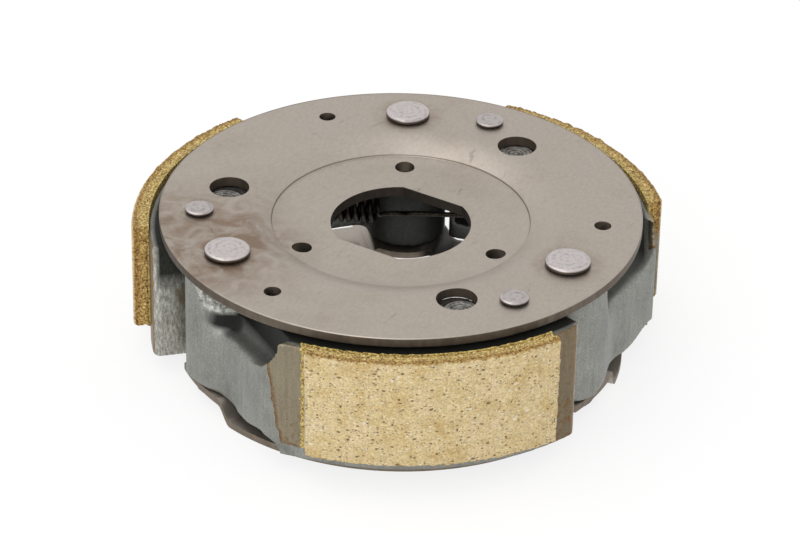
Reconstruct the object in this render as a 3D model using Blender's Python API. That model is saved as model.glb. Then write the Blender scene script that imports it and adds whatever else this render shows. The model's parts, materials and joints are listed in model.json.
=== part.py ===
"""Centrifugal clutch with three leading shoes, as fitted to the driven pulley of a small vehicle.

The clutch axis is Z. The origin lies on it, at the mid-height of the friction linings.
A steel drive plate lies on top. Three cast shoes hang from pins riveted into it, at 0, 120 and 240
degrees, and swing outward against their return springs. A stepped retaining plate closes the underside.
"""

import math

import bmesh
import bpy
from mathutils import Matrix, Vector

MM = 0.001

# Driving sizes
SHOE_COUNT = 3
CLEARANCE = 0.3 * MM  # between pieces that touch on the real clutch

LINING_RADIUS = 53.5 * MM
LINING_THICKNESS = 3.4 * MM
LINING_HEIGHT = 23.2 * MM
LINING_START = 41.9  # degrees round the clutch axis, from the shoe's pivot
LINING_END = 97.0
LINING_EDGE = 0.5 * MM

PLATE_INSET = 2.1 * MM  # inside the linings' seat
PLATE_THICKNESS = 2.1 * MM
PLATE_ABOVE_LINING = 2.4 * MM
PLATE_EDGE = 0.2 * MM
LAND_DEPTH = 3.17 * MM
STEP_HEIGHT = 0.45 * MM
STEP_DEPTH = 2.15 * MM
DISH_SHARE = 0.80366  # of the pivot circle, as are the next five
STEP_SHARE = 0.67539
LAND_SHARE = 0.6466
INNER_HOLE_SHARE = 0.57592
BORE_SHARE = 0.36649
BORE_FLAT_SHARE = 0.31806  # from the axis to each flat
WINDOW_RADIUS = 4.0 * MM
WINDOW_INSET = 3.0 * MM  # inside the pivot circle
WINDOW_FROM_STUB = 9.21 * MM  # across the stub's radius
OUTER_HOLE_RADIUS = 1.7 * MM
OUTER_HOLE_BEYOND = 2.0 * MM  # outside the pivot circle
OUTER_HOLE_ANGLE = 24.4  # from the shoe's pivot
INNER_HOLE_RADIUS = 2.0 * MM

PIVOT_INSET = 9.8 * MM  # inside the plate's rim
PIN_HEAD_RADIUS = 4.5 * MM
PIN_HEAD_HEIGHT = 0.95 * MM
PIN_SHANK_RADIUS = 3.6 * MM
PIN_RADIUS = 5.0 * MM
PIN_NECK_RADIUS = 4.0 * MM
PIN_CHAMFER = 0.5 * MM
PIN_NOSE = 1.7 * MM  # pin below its groove
GROOVE_RADIUS = 3.1 * MM

STUB_BEYOND = 1.8 * MM  # outside the pivot circle
STUB_HEAD_RADIUS = 2.85 * MM
STUB_HEAD_HEIGHT = 0.6 * MM
STUB_SHANK_RADIUS = 1.9 * MM
STUB_RADIUS = 2.3 * MM
STUB_CHAMFER = 0.4 * MM
STUB_ABOVE_SLOT = 3.0 * MM  # above the damper slot's floor
RUBBER_RADIUS = 4.0 * MM
RUBBER_EDGE = 0.5 * MM
RUBBER_ABOVE_STUB = 1.7 * MM  # rubber's lower end above the stub's

SHOE_BOSS_RADIUS = 8.3 * MM
SHOE_FACE_BEYOND = 5.3 * MM  # flat outer face, outside the pivot
SHOE_SHOULDER_BEYOND = 1.2 * MM  # corner of face and seat, outside the lining seat
SHOE_TAIL_GAP = 1.265 * MM  # between the tail and the next shoe's boss
SHOE_TAIL_MARGIN = 3.08 * MM  # between the damper slot at rest and the tail's end
SHOE_TAIL_INSET = 1.7 * MM  # tail's inner wall inside the stub's circle
SHOE_WEB_BEYOND = 1.0 * MM  # inner wall between boss and weight, outside the pivot circle
SHOE_WEIGHT_INSET = 7.2 * MM  # weight's inner wall inside the pivot circle
WEIGHT_START = 32.0
WEIGHT_GAP = 0.48 * MM  # between the weight's end and the damper slot
SHOE_BELOW_LINING = 3.0 * MM
SHOE_TOP_DROP = 1.0 * MM  # shoe's top below the lining's top
HEAD_RISE = 1.7 * MM  # head's underside above the shoe's
HEAD_ARCH = 3.7 * MM  # the same, where the underside arches up before it meets the body
HEAD_PAST_SHOULDER = 2.2 * MM  # end of the raised underside, along the face
HEAD_ARCH_LENGTH = 12.0 * MM
HEAD_ARCH_SHAPE = (  # shares of the arch's length before its end, and of its height
    (1.0, 0.0), (0.783, 0.2), (0.533, 0.7), (0.325, 1.0), (0.183, 0.9), (0.083, 0.35), (0.033, -0.35),
)
BOSS_FILLET = 2.0 * MM
CASTING_RADIUS = 1.4 * MM
WINDOW_BOSS_RADIUS = 4.6 * MM

POCKET_DEPTH = 9.4 * MM  # below the shoe's top, at its near end
POCKET_RISE = 1.6 * MM  # of its floor, from the near end to the curve at the far end
POCKET_BACK = 4.5 * MM  # behind the flat face
POCKET_FROM = 2.4 * MM  # along the face, from the pivot
POCKET_SLOPE = 4.6 * MM  # length of the near wall's slope
POCKET_SLOPE_SHAPE = (  # shares of the slope's length, and of the pocket's depth
    (0.109, 0.33), (0.304, 0.617), (0.543, 0.702), (0.761, 0.915), (1.0, 1.0),
)
POCKET_PAST_SHOULDER = 1.7 * MM
POCKET_CORNER = 7.5 * MM
BOSS_CONE_RADIUS = 8.0 * MM  # of the boss where it stands in the pocket
BOSS_CONE_MIDDLE = 7.5 * MM
BOSS_CONE_TOP = 6.8 * MM
BOSS_CONE_DEPTH = 7.5 * MM
SLOT_FLOOR = 3.7 * MM  # metal left below the damper slot
SWING = 2.5  # degrees from rest to the stop

RING_INSET = 2.7 * MM  # inside the drive plate's rim
RING_BORE_INSET = 8.2 * MM  # inside the pivot circle
RING_THICKNESS = 1.4 * MM
RING_STEP = 3.5 * MM
RING_NOTCH_DEPTH = 3.8 * MM  # of the cutaway under each shoe's tail
RING_NOTCH = (-27.0, -9.0)  # degrees from the pivot
PAD_HALF_WIDTH = 7.616 * MM
PAD_FOOT_WIDTH = 9.887 * MM
PAD_NOSE_RADIUS = 10.0 * MM

CLIP_THICKNESS = 0.9 * MM
CLIP_RADIUS = 6.5 * MM
CLIP_BAND = 1.7 * MM
CLIP_MOUTH = 2.6 * MM

SPRING_RADIUS = 2.9 * MM  # outside
SPRING_WIRE = 0.65 * MM  # wire radius
SPRING_LEVEL = -3.0 * MM  # below the linings' mid-height
COIL_FROM = 5.5 * MM  # along the spring, from the foot of the perpendicular through the clutch axis
COIL_GAP = 5.4 * MM  # between the coil's end and the head peg
COIL_PITCH = 1.2  # in wire diameters, where the turns have room
PEG_INSET = 3.7 * MM  # inside the pivot circle
PEG_FROM_STUB = 6.8 * MM  # tail peg, across the stub's radius
PEG_HEAD_ANGLE = 36.0
PEG_RADIUS = 1.25 * MM
PEG_SLOT = 1.3 * MM  # half the height of the slot that a peg bridges
PEG_SLOT_RADIUS = 3.4 * MM

# Radii and angles that follow from the sizes
SEAT_RADIUS = LINING_RADIUS - LINING_THICKNESS
PLATE_RADIUS = SEAT_RADIUS - PLATE_INSET
PIVOT_RADIUS = PLATE_RADIUS - PIVOT_INSET
DISH_RADIUS = PIVOT_RADIUS * DISH_SHARE
STEP_RADIUS = PIVOT_RADIUS * STEP_SHARE
LAND_RADIUS = PIVOT_RADIUS * LAND_SHARE
BORE_RADIUS = PIVOT_RADIUS * BORE_SHARE
BORE_FLAT = PIVOT_RADIUS * BORE_FLAT_SHARE
SHOE_FACE = PIVOT_RADIUS + SHOE_FACE_BEYOND
SHOE_SHOULDER = SEAT_RADIUS + SHOE_SHOULDER_BEYOND
SHOULDER_ALONG = math.sqrt(SHOE_SHOULDER**2 - SHOE_FACE**2)
SHOE_WEB_RADIUS = PIVOT_RADIUS + SHOE_WEB_BEYOND
SHOE_WEIGHT_RADIUS = PIVOT_RADIUS - SHOE_WEIGHT_INSET
STUB_CIRCLE = PIVOT_RADIUS + STUB_BEYOND
SHOE_TAIL_RADIUS = STUB_CIRCLE - SHOE_TAIL_INSET
SLOT_RADIUS = RUBBER_RADIUS + CLEARANCE
NEXT_BOSS = math.degrees(math.asin((SHOE_BOSS_RADIUS + SHOE_TAIL_GAP) / PIVOT_RADIUS))
SHOE_TAIL_END = 360 / SHOE_COUNT - NEXT_BOSS
STUB_ANGLE = SHOE_TAIL_END - math.degrees(math.asin((SLOT_RADIUS + SHOE_TAIL_MARGIN) / STUB_CIRCLE))
STUB_PLACE = (STUB_CIRCLE, STUB_ANGLE)  # radius, and degrees from the shoe's pivot
WEIGHT_END = STUB_ANGLE - math.degrees(math.asin((SLOT_RADIUS + WEIGHT_GAP) / STUB_CIRCLE))
WINDOW_CIRCLE = PIVOT_RADIUS - WINDOW_INSET
WINDOW_PLACE = (WINDOW_CIRCLE, STUB_ANGLE - math.degrees(math.asin(WINDOW_FROM_STUB / WINDOW_CIRCLE)))
OUTER_HOLE_PLACE = (PIVOT_RADIUS + OUTER_HOLE_BEYOND, OUTER_HOLE_ANGLE)
INNER_HOLE_PLACE = (PIVOT_RADIUS * INNER_HOLE_SHARE, 0.0)
PEG_CIRCLE = PIVOT_RADIUS - PEG_INSET
PEG_PLACE_TAIL = (PEG_CIRCLE, STUB_ANGLE - math.degrees(math.asin(PEG_FROM_STUB / PEG_CIRCLE)))
PEG_PLACE_HEAD = (PEG_CIRCLE, PEG_HEAD_ANGLE)
RING_RADIUS = PLATE_RADIUS - RING_INSET
RING_BORE = PIVOT_RADIUS - RING_BORE_INSET
RING_NOTCH_RADIUS = RING_RADIUS - RING_NOTCH_DEPTH
PAD_HALF_ANGLE = math.degrees(math.asin(PAD_HALF_WIDTH / PIVOT_RADIUS))
PAD_FOOT_ANGLE = math.degrees(math.asin(PAD_FOOT_WIDTH / PIVOT_RADIUS))

# Levels that follow from the sizes
LINING_TOP = LINING_HEIGHT / 2
PLATE_TOP = LINING_TOP + PLATE_ABOVE_LINING
PLATE_UNDER = PLATE_TOP - PLATE_THICKNESS
LAND_TOP = PLATE_TOP - LAND_DEPTH
BOSS_TOP = PLATE_UNDER - CLEARANCE
SHOE_TOP = LINING_TOP - SHOE_TOP_DROP
SHOE_BOTTOM = -LINING_TOP - SHOE_BELOW_LINING
HEAD_BOTTOM = SHOE_BOTTOM + HEAD_RISE
STUB_END = SHOE_BOTTOM + SLOT_FLOOR + STUB_ABOVE_SLOT
PAD_TOP = HEAD_BOTTOM - CLEARANCE
PAD_UNDER = PAD_TOP - RING_THICKNESS
CLIP_TOP = PAD_UNDER - CLEARANCE
CLIP_UNDER = CLIP_TOP - CLIP_THICKNESS
PIN_END = CLIP_UNDER - PIN_NOSE
OVERSHOOT = 1.0 * MM  # how far a cutter runs past what it cuts
WELD = 0.002 * MM


def clear_scene():
    for obj in list(bpy.data.objects):
        bpy.data.objects.remove(obj, do_unlink=True)


def material(name, colour, metallic, roughness):
    made = bpy.data.materials.new(name)
    made.use_nodes = True
    shader = made.node_tree.nodes["Principled BSDF"]
    shader.inputs["Base Color"].default_value = (*colour, 1.0)
    shader.inputs["Metallic"].default_value = metallic
    shader.inputs["Roughness"].default_value = roughness
    return made


def polar(radius, degrees):
    angle = math.radians(degrees)
    return Vector((radius * math.cos(angle), radius * math.sin(angle)))


def from_pivot(radius, degrees):
    """A place given round the clutch axis, as seen from the shoe's own pivot."""
    return polar(radius, degrees) - Vector((PIVOT_RADIUS, 0.0))


def arc(centre, radius, start, end, steps):
    """Points on a circle, from one angle in degrees to another, both included."""
    return [
        centre + polar(radius, start + (end - start) * step / steps) for step in range(steps + 1)
    ]


def rounded(corners, steps=4):
    """An outline from (point, radius) corners, each corner with a radius turned into an arc."""
    points = []
    for index, (point, radius) in enumerate(corners):
        if not radius:
            points.append(point)
            continue
        before = (corners[index - 1][0] - point).normalized()
        after = (corners[(index + 1) % len(corners)][0] - point).normalized()
        half = before.angle(after) / 2
        reach = radius / math.tan(half)
        centre = point + (before + after).normalized() * (radius / math.sin(half))
        start = point + before * reach - centre
        turn = (after * reach + point - centre).angle_signed(start)
        for step in range(steps + 1):
            turned = start.copy()
            turned.rotate(Matrix.Rotation(turn * step / steps, 2))
            points.append(centre + turned)
    return points


def circles_meet(centre_a, radius_a, centre_b, radius_b, side):
    """Where two circles meet, on the left (side 1) or the right (side -1) of the line from a to b."""
    line = centre_b - centre_a
    gap = line.length
    along = (gap**2 + radius_a**2 - radius_b**2) / (2 * gap)
    across = math.sqrt(radius_a**2 - along**2)
    unit = line / gap
    return centre_a + unit * along + Vector((-unit.y, unit.x)) * across * side


def degrees_of(vector):
    return math.degrees(math.atan2(vector.y, vector.x))


def mesh_object(name, bm):
    bmesh.ops.remove_doubles(bm, verts=bm.verts, dist=1e-7)
    bmesh.ops.recalc_face_normals(bm, faces=bm.faces)
    mesh = bpy.data.meshes.new(name)
    bm.to_mesh(mesh)
    bm.free()
    obj = bpy.data.objects.new(name, mesh)
    bpy.context.scene.collection.objects.link(obj)
    return obj


def prisms(name, outlines, low, high):
    """Closed outlines in XY that don't touch one another, extruded from one level to another."""
    bm = bmesh.new()
    corners = [[bm.verts.new((point.x, point.y, low)) for point in outline] for outline in outlines]
    floors = [bm.faces.new(outline) for outline in corners]
    raised = bmesh.ops.extrude_face_region(bm, geom=floors, use_keep_orig=True)["geom"]
    tops = [item for item in raised if isinstance(item, bmesh.types.BMVert)]
    bmesh.ops.translate(bm, verts=tops, vec=(0, 0, high - low))
    return mesh_object(name, bm)


def prism(name, outline, low, high):
    return prisms(name, [outline], low, high)


def circle(centre, radius, steps):
    return arc(centre, radius, 0, 360 - 360 / steps, steps - 1)


def turned(name, profile, steps):
    """A closed (radius, height) profile, spun about Z."""
    bm = bmesh.new()
    rim = [bm.verts.new((radius, 0, height)) for radius, height in profile]
    sides = [bm.edges.new((rim[i - 1], rim[i])) for i in range(len(rim))]
    bmesh.ops.spin(
        bm, geom=rim + sides, cent=(0, 0, 0), axis=(0, 0, 1), angle=2 * math.pi, steps=steps, use_merge=True
    )
    bmesh.ops.remove_doubles(bm, verts=bm.verts, dist=1e-7)
    loose = [edge for edge in bm.edges if not edge.link_faces]
    bmesh.ops.delete(bm, geom=loose, context="EDGES")
    return mesh_object(name, bm)


def cylinder(name, centre, radius, low, high, steps=24):
    return prism(name, circle(centre, radius, steps), low, high)


def boolean(piece, tool, operation="DIFFERENCE"):
    """Joins the tool to the piece or cuts it away, removes the tool and tidies what is left."""
    cut = piece.modifiers.new("cut", "BOOLEAN")
    cut.operation = operation
    cut.solver = "EXACT"
    cut.object = tool
    graph = bpy.context.evaluated_depsgraph_get()
    result = bpy.data.meshes.new_from_object(piece.evaluated_get(graph))
    piece.modifiers.clear()
    piece.data = result
    bpy.data.objects.remove(tool, do_unlink=True)
    bm = bmesh.new()
    bm.from_mesh(result)
    bmesh.ops.remove_doubles(bm, verts=bm.verts, dist=WELD)
    bmesh.ops.dissolve_degenerate(bm, edges=bm.edges, dist=WELD)
    bm.to_mesh(result)
    bm.free()


def finish(obj, surface, parent=None, place=None, shade=35):
    """Gives a piece its material, smooth shading, and its place under a parent."""
    obj.data.materials.clear()
    obj.data.materials.append(surface)
    obj.data.shade_smooth()
    obj.data.set_sharp_from_angle(angle=math.radians(shade))
    if parent:
        obj.parent = parent
    if place:
        obj.location = place
    return obj


def copy_of(obj, name):
    twin = bpy.data.objects.new(name, obj.data)
    bpy.context.scene.collection.objects.link(twin)
    return twin


def drive_plate():
    """The dished disc: a recessed hub land, a pressed step, a cone and the flat rim."""
    top = [
        (BORE_RADIUS * 0.7, LAND_TOP),
        (LAND_RADIUS - STEP_HEIGHT, LAND_TOP),
        (LAND_RADIUS, LAND_TOP + STEP_HEIGHT * 0.3),
        (STEP_RADIUS - PLATE_EDGE, PLATE_TOP - STEP_DEPTH - STEP_HEIGHT),
        (STEP_RADIUS, PLATE_TOP - STEP_DEPTH),
        (DISH_RADIUS - LAND_DEPTH / 2, PLATE_TOP - STEP_DEPTH / 4),
        (DISH_RADIUS, PLATE_TOP),
        (PLATE_RADIUS - PLATE_EDGE, PLATE_TOP),
        (PLATE_RADIUS, PLATE_TOP - PLATE_EDGE),
    ]
    under = [
        (PLATE_RADIUS, PLATE_UNDER + PLATE_EDGE),
        (PLATE_RADIUS - PLATE_EDGE, PLATE_UNDER),
        (DISH_RADIUS + PLATE_EDGE, PLATE_UNDER),
        (STEP_RADIUS + PLATE_EDGE, PLATE_UNDER - STEP_DEPTH),
        (LAND_RADIUS, LAND_TOP - PLATE_THICKNESS),
        (BORE_RADIUS * 0.7, LAND_TOP - PLATE_THICKNESS),
    ]
    plate = turned("drive_plate", top + under, 60)
    low, high = LAND_TOP - PLATE_THICKNESS - OVERSHOOT, PLATE_TOP + OVERSHOOT
    corner = math.degrees(math.asin(BORE_FLAT / BORE_RADIUS))
    right = arc(Vector((0, 0)), BORE_RADIUS, -corner, corner, 12)
    left = arc(Vector((0, 0)), BORE_RADIUS, 180 - corner, 180 + corner, 12)
    outlines = [right + left]
    holes = [
        (WINDOW_PLACE, WINDOW_RADIUS, 24),
        (OUTER_HOLE_PLACE, OUTER_HOLE_RADIUS, 16),
        (INNER_HOLE_PLACE, INNER_HOLE_RADIUS, 16),
        ((PIVOT_RADIUS, 0.0), PIN_SHANK_RADIUS + CLEARANCE, 20),
        (STUB_PLACE, STUB_SHANK_RADIUS + CLEARANCE, 16),
    ]
    for turn in range(SHOE_COUNT):
        for (radius, angle), hole_radius, steps in holes:
            centre = polar(radius, angle + turn * 360 / SHOE_COUNT)
            outlines.append(circle(centre, hole_radius, steps))
    boolean(plate, prisms("holes", outlines, low, high))
    return plate


def pivot_pin(name):
    """A shouldered pin: riveted head above the plate, journal for the shoe, grooved nose below."""
    head_top = PLATE_TOP + CLEARANCE + PIN_HEAD_HEIGHT
    profile = [
        (0, PIN_END),
        (PIN_NECK_RADIUS - PIN_CHAMFER, PIN_END),
        (PIN_NECK_RADIUS, PIN_END + PIN_CHAMFER),
        (PIN_NECK_RADIUS, CLIP_UNDER - CLEARANCE / 2),
        (GROOVE_RADIUS, CLIP_UNDER - CLEARANCE / 2),
        (GROOVE_RADIUS, CLIP_TOP + CLEARANCE / 2),
        (PIN_NECK_RADIUS, CLIP_TOP + CLEARANCE / 2),
        (PIN_NECK_RADIUS, PAD_TOP + CLEARANCE / 2),
        (PIN_RADIUS, PAD_TOP + CLEARANCE / 2),
        (PIN_RADIUS, BOSS_TOP),
        (PIN_SHANK_RADIUS, BOSS_TOP),
        (PIN_SHANK_RADIUS, PLATE_TOP + CLEARANCE),
        (PIN_HEAD_RADIUS, PLATE_TOP + CLEARANCE),
        (PIN_HEAD_RADIUS, head_top - PIN_HEAD_HEIGHT * 0.4),
        (PIN_HEAD_RADIUS * 0.94, head_top - PIN_HEAD_HEIGHT * 0.12),
        (PIN_HEAD_RADIUS * 0.8, head_top),
        (0, head_top),
    ]
    return turned(name, profile, 20)


def damper_stub(name):
    """A riveted stub below the plate, with a small head above it."""
    head_top = PLATE_TOP + CLEARANCE + STUB_HEAD_HEIGHT
    profile = [
        (0, STUB_END),
        (STUB_RADIUS - STUB_CHAMFER, STUB_END),
        (STUB_RADIUS, STUB_END + STUB_CHAMFER),
        (STUB_RADIUS, BOSS_TOP),
        (STUB_SHANK_RADIUS, BOSS_TOP),
        (STUB_SHANK_RADIUS, PLATE_TOP + CLEARANCE),
        (STUB_HEAD_RADIUS, PLATE_TOP + CLEARANCE),
        (STUB_HEAD_RADIUS, head_top - STUB_HEAD_HEIGHT * 0.35),
        (STUB_HEAD_RADIUS * 0.85, head_top),
        (0, head_top),
    ]
    return turned(name, profile, 16)


def damper_rubber(name):
    """The rubber sleeve on a stub, with a soft edge at both ends."""
    top = BOSS_TOP - CLEARANCE
    bottom = STUB_END + RUBBER_ABOVE_STUB
    inner = STUB_RADIUS + CLEARANCE
    profile = [
        (inner, bottom),
        (RUBBER_RADIUS - RUBBER_EDGE, bottom),
        (RUBBER_RADIUS, bottom + RUBBER_EDGE),
        (RUBBER_RADIUS, top - RUBBER_EDGE),
        (RUBBER_RADIUS - RUBBER_EDGE, top),
        (inner, top),
    ]
    return turned(name, profile, 20)


def shoe_outline():
    """Plan of the shoe, round its pivot: boss, flat face, lining seat, tail, weight and web."""
    axis = Vector((-PIVOT_RADIUS, 0.0))
    boss = Vector((0.0, 0.0))
    face = SHOE_FACE_BEYOND
    face_fillet = Vector((face + BOSS_FILLET, 0.0))
    face_fillet.y = math.sqrt((SHOE_BOSS_RADIUS + BOSS_FILLET) ** 2 - face_fillet.x**2)
    face_angle = degrees_of(face_fillet)
    web_fillet = circles_meet(
        boss, SHOE_BOSS_RADIUS + BOSS_FILLET, axis, SHOE_WEB_RADIUS - BOSS_FILLET, -1
    )
    web_angle = degrees_of(web_fillet)
    web_start = degrees_of(web_fillet - axis)
    shoulder = Vector((face, SHOULDER_ALONG))
    around_boss = arc(boss, SHOE_BOSS_RADIUS, web_angle, 360 + face_angle, 20)
    into_face = arc(face_fillet, BOSS_FILLET, 180 + face_angle, 180, 4)
    seat = arc(axis, SEAT_RADIUS, LINING_START, SHOE_TAIL_END, 21)
    tail = arc(axis, SHOE_TAIL_RADIUS, SHOE_TAIL_END, WEIGHT_END, 5)
    weight = arc(axis, SHOE_WEIGHT_RADIUS, WEIGHT_END - 1.5, WEIGHT_START + 2, 14)
    web = arc(axis, SHOE_WEB_RADIUS, WEIGHT_START - 2, web_start, 3)
    into_web = arc(web_fillet, BOSS_FILLET, degrees_of(web_fillet - axis), web_angle - 180, 4)
    corners = [(point, 0) for point in around_boss[:-1] + into_face]
    corners += [(shoulder, CASTING_RADIUS)]
    corners += [(point, 0) for point in seat[:-1]] + [(seat[-1], CASTING_RADIUS)]
    corners += [(tail[0], CASTING_RADIUS)] + [(point, 0) for point in tail[1:-1]]
    corners += [(tail[-1], CASTING_RADIUS)]
    corners += [(weight[0], CASTING_RADIUS)] + [(point, 0) for point in weight[1:-1]]
    corners += [(weight[-1], CASTING_RADIUS), (web[0], CASTING_RADIUS)]
    corners += [(point, 0) for point in web[1:-1] + into_web[:-1]]
    return rounded(corners)


def lower_head_cut():
    """Clears the underside of the head, with an arch before the step down to the rest of the shoe."""
    reach = 2 * SHOE_BOSS_RADIUS
    below = SHOE_BOTTOM - OVERSHOOT
    end = SHOULDER_ALONG + HEAD_PAST_SHOULDER
    height = HEAD_ARCH - HEAD_RISE
    side = [(-reach, below), (-reach, HEAD_BOTTOM)]
    side += [(end - HEAD_ARCH_LENGTH * before, HEAD_BOTTOM + height * up) for before, up in HEAD_ARCH_SHAPE]
    side += [(end, below)]
    return extruded_along_x("head_cut", side, -reach, reach)


def extruded_along_x(name, side, low, high):
    """A closed outline in YZ, extruded along X."""
    bm = bmesh.new()
    flat = bm.faces.new([bm.verts.new((low, y, z)) for y, z in side])
    raised = bmesh.ops.extrude_face_region(bm, geom=[flat])["geom"]
    moved = [item for item in raised if isinstance(item, bmesh.types.BMVert)]
    bmesh.ops.translate(bm, verts=moved, vec=(high - low, 0, 0))
    return mesh_object(name, bm)


def pocket_cut():
    """The scoop in the flat face, open at the top, with a sloping near wall and a round far end."""
    floor = SHOE_TOP - POCKET_DEPTH
    over = BOSS_TOP + OVERSHOOT
    end = SHOULDER_ALONG + POCKET_PAST_SHOULDER
    corner = Vector((end - POCKET_CORNER, floor + POCKET_RISE + POCKET_CORNER))
    far = arc(corner, POCKET_CORNER, -90, 0, 6)
    side = [(POCKET_FROM, over)]
    for along, down in POCKET_SLOPE_SHAPE:
        side.append((POCKET_FROM + POCKET_SLOPE * along, SHOE_TOP - POCKET_DEPTH * down))
    side += [(point.x, point.y) for point in far] + [(end, over)]
    back = SHOE_FACE_BEYOND - POCKET_BACK
    return extruded_along_x("pocket", side, back, 2 * SHOE_BOSS_RADIUS)


def boss_cone():
    """The boss as it stands in the pocket, with its upper part tapered to the rubbed top."""
    profile = [
        (0, SHOE_TOP - POCKET_DEPTH - OVERSHOOT),
        (BOSS_CONE_RADIUS, SHOE_TOP - POCKET_DEPTH - OVERSHOOT),
        (BOSS_CONE_RADIUS, BOSS_TOP - BOSS_CONE_DEPTH),
        (BOSS_CONE_MIDDLE, BOSS_TOP - BOSS_CONE_DEPTH / 2),
        (BOSS_CONE_TOP, BOSS_TOP),
        (0, BOSS_TOP),
    ]
    return turned("boss_cone", profile, 28)


def slot_outline():
    """Plan of the damper slot: from the stub at rest to the stub at full swing, and open to the inside."""
    rest = from_pivot(*STUB_PLACE)
    swung = rest.copy()
    swung.rotate(Matrix.Rotation(math.radians(SWING), 2))
    outward = polar(1.0, STUB_PLACE[1])
    across = Vector((-outward.y, outward.x))
    travel = (swung - rest).dot(across)
    corner = rest + across * travel
    facing = STUB_PLACE[1]
    quarter = 360 / 4
    near = arc(rest, SLOT_RADIUS, facing - quarter, facing, 6)
    far = arc(corner, SLOT_RADIUS, facing, facing + quarter, 6)
    reach = -outward * (STUB_PLACE[0] - SHOE_WEIGHT_RADIUS + SLOT_RADIUS)
    return [near[0] + reach] + near + far + [far[-1] + reach]


def peg_slot(place, towards):
    """Plan of the slot that lets a spring's loop over its peg, open along the spring."""
    peg = from_pivot(*place)
    along = (from_pivot(*towards) - peg).normalized()
    facing = degrees_of(along)
    back = arc(peg, PEG_SLOT_RADIUS, facing + 90, facing + 270, 10)
    reach = along * 3 * PEG_SLOT_RADIUS
    return back + [back[-1] + reach, back[0] + reach]


def shoe(name):
    """One cast shoe, with its origin on its pivot."""
    over = BOSS_TOP + OVERSHOOT
    below = SHOE_BOTTOM - OVERSHOOT
    pivot = Vector((0, 0))
    body = prism(name, shoe_outline(), SHOE_BOTTOM, SHOE_TOP)
    boolean(body, lower_head_cut())
    boolean(body, pocket_cut())
    boolean(body, boss_cone(), "UNION")
    window_boss = cylinder("window_boss", from_pivot(*WINDOW_PLACE), WINDOW_BOSS_RADIUS, 0, BOSS_TOP, 24)
    boolean(body, window_boss, "UNION")
    boolean(body, cylinder("pin_bore", pivot, PIN_RADIUS + CLEARANCE, below, over, 24))
    boolean(body, prism("damper_slot", slot_outline(), SHOE_BOTTOM + SLOT_FLOOR, over))
    pitch = 360 / SHOE_COUNT
    next_head = (PEG_CIRCLE, PEG_HEAD_ANGLE + pitch)
    last_tail = (PEG_CIRCLE, PEG_PLACE_TAIL[1] - pitch)
    low, high = SPRING_LEVEL - PEG_SLOT, SPRING_LEVEL + PEG_SLOT
    for place, towards in ((PEG_PLACE_TAIL, next_head), (PEG_PLACE_HEAD, last_tail)):
        boolean(body, prism("peg_slot", peg_slot(place, towards), low, high))
        peg = cylinder("peg", from_pivot(*place), PEG_RADIUS, low - OVERSHOOT, high + OVERSHOOT, 12)
        boolean(body, peg, "UNION")
    return body


def lining(name):
    """A bonded friction segment, with a small chamfer round its outer face."""
    axis = Vector((-PIVOT_RADIUS, 0.0))
    inner = SEAT_RADIUS + CLEARANCE
    steps = 18
    bm = bmesh.new()
    rings = []
    trim = math.degrees(LINING_EDGE / LINING_RADIUS)
    rows = [
        (inner, 0.0, LINING_TOP),
        (LINING_RADIUS - LINING_EDGE, 0.0, LINING_TOP),
        (LINING_RADIUS, 1.0, LINING_TOP - LINING_EDGE),
        (LINING_RADIUS, 1.0, -LINING_TOP + LINING_EDGE),
        (LINING_RADIUS - LINING_EDGE, 0.0, -LINING_TOP),
        (inner, 0.0, -LINING_TOP),
    ]
    for step in range(steps + 1):
        ring = []
        for radius, inset, height in rows:
            start = LINING_START + inset * trim
            end = LINING_END - inset * trim
            point = axis + polar(radius, start + (end - start) * step / steps)
            ring.append(bm.verts.new((point.x, point.y, height)))
        rings.append(ring)
    for before, after in zip(rings, rings[1:]):
        for row in range(len(rows)):
            following = (row + 1) % len(rows)
            bm.faces.new((before[row], before[following], after[following], after[row]))
    for ring in (rings[0], rings[-1]):
        bm.faces.new(ring)
    return mesh_object(name, bm)


def ring_level(angle):
    """Top of the retaining plate at an angle from the nearest pivot: pad, ramp or low ring."""
    away = min(1.0, max(0.0, (abs(angle) - PAD_HALF_ANGLE) / (PAD_FOOT_ANGLE - PAD_HALF_ANGLE)))
    return PAD_TOP - RING_STEP * away


def ring_bore(angle):
    """Inner edge of the retaining plate at an angle from the nearest pivot: a nose round each pin."""
    across = PIVOT_RADIUS * math.sin(math.radians(angle))
    if abs(across) >= PAD_NOSE_RADIUS:
        return RING_BORE
    nose = PIVOT_RADIUS * math.cos(math.radians(angle)) - math.sqrt(PAD_NOSE_RADIUS**2 - across**2)
    return min(RING_BORE, nose)


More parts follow.
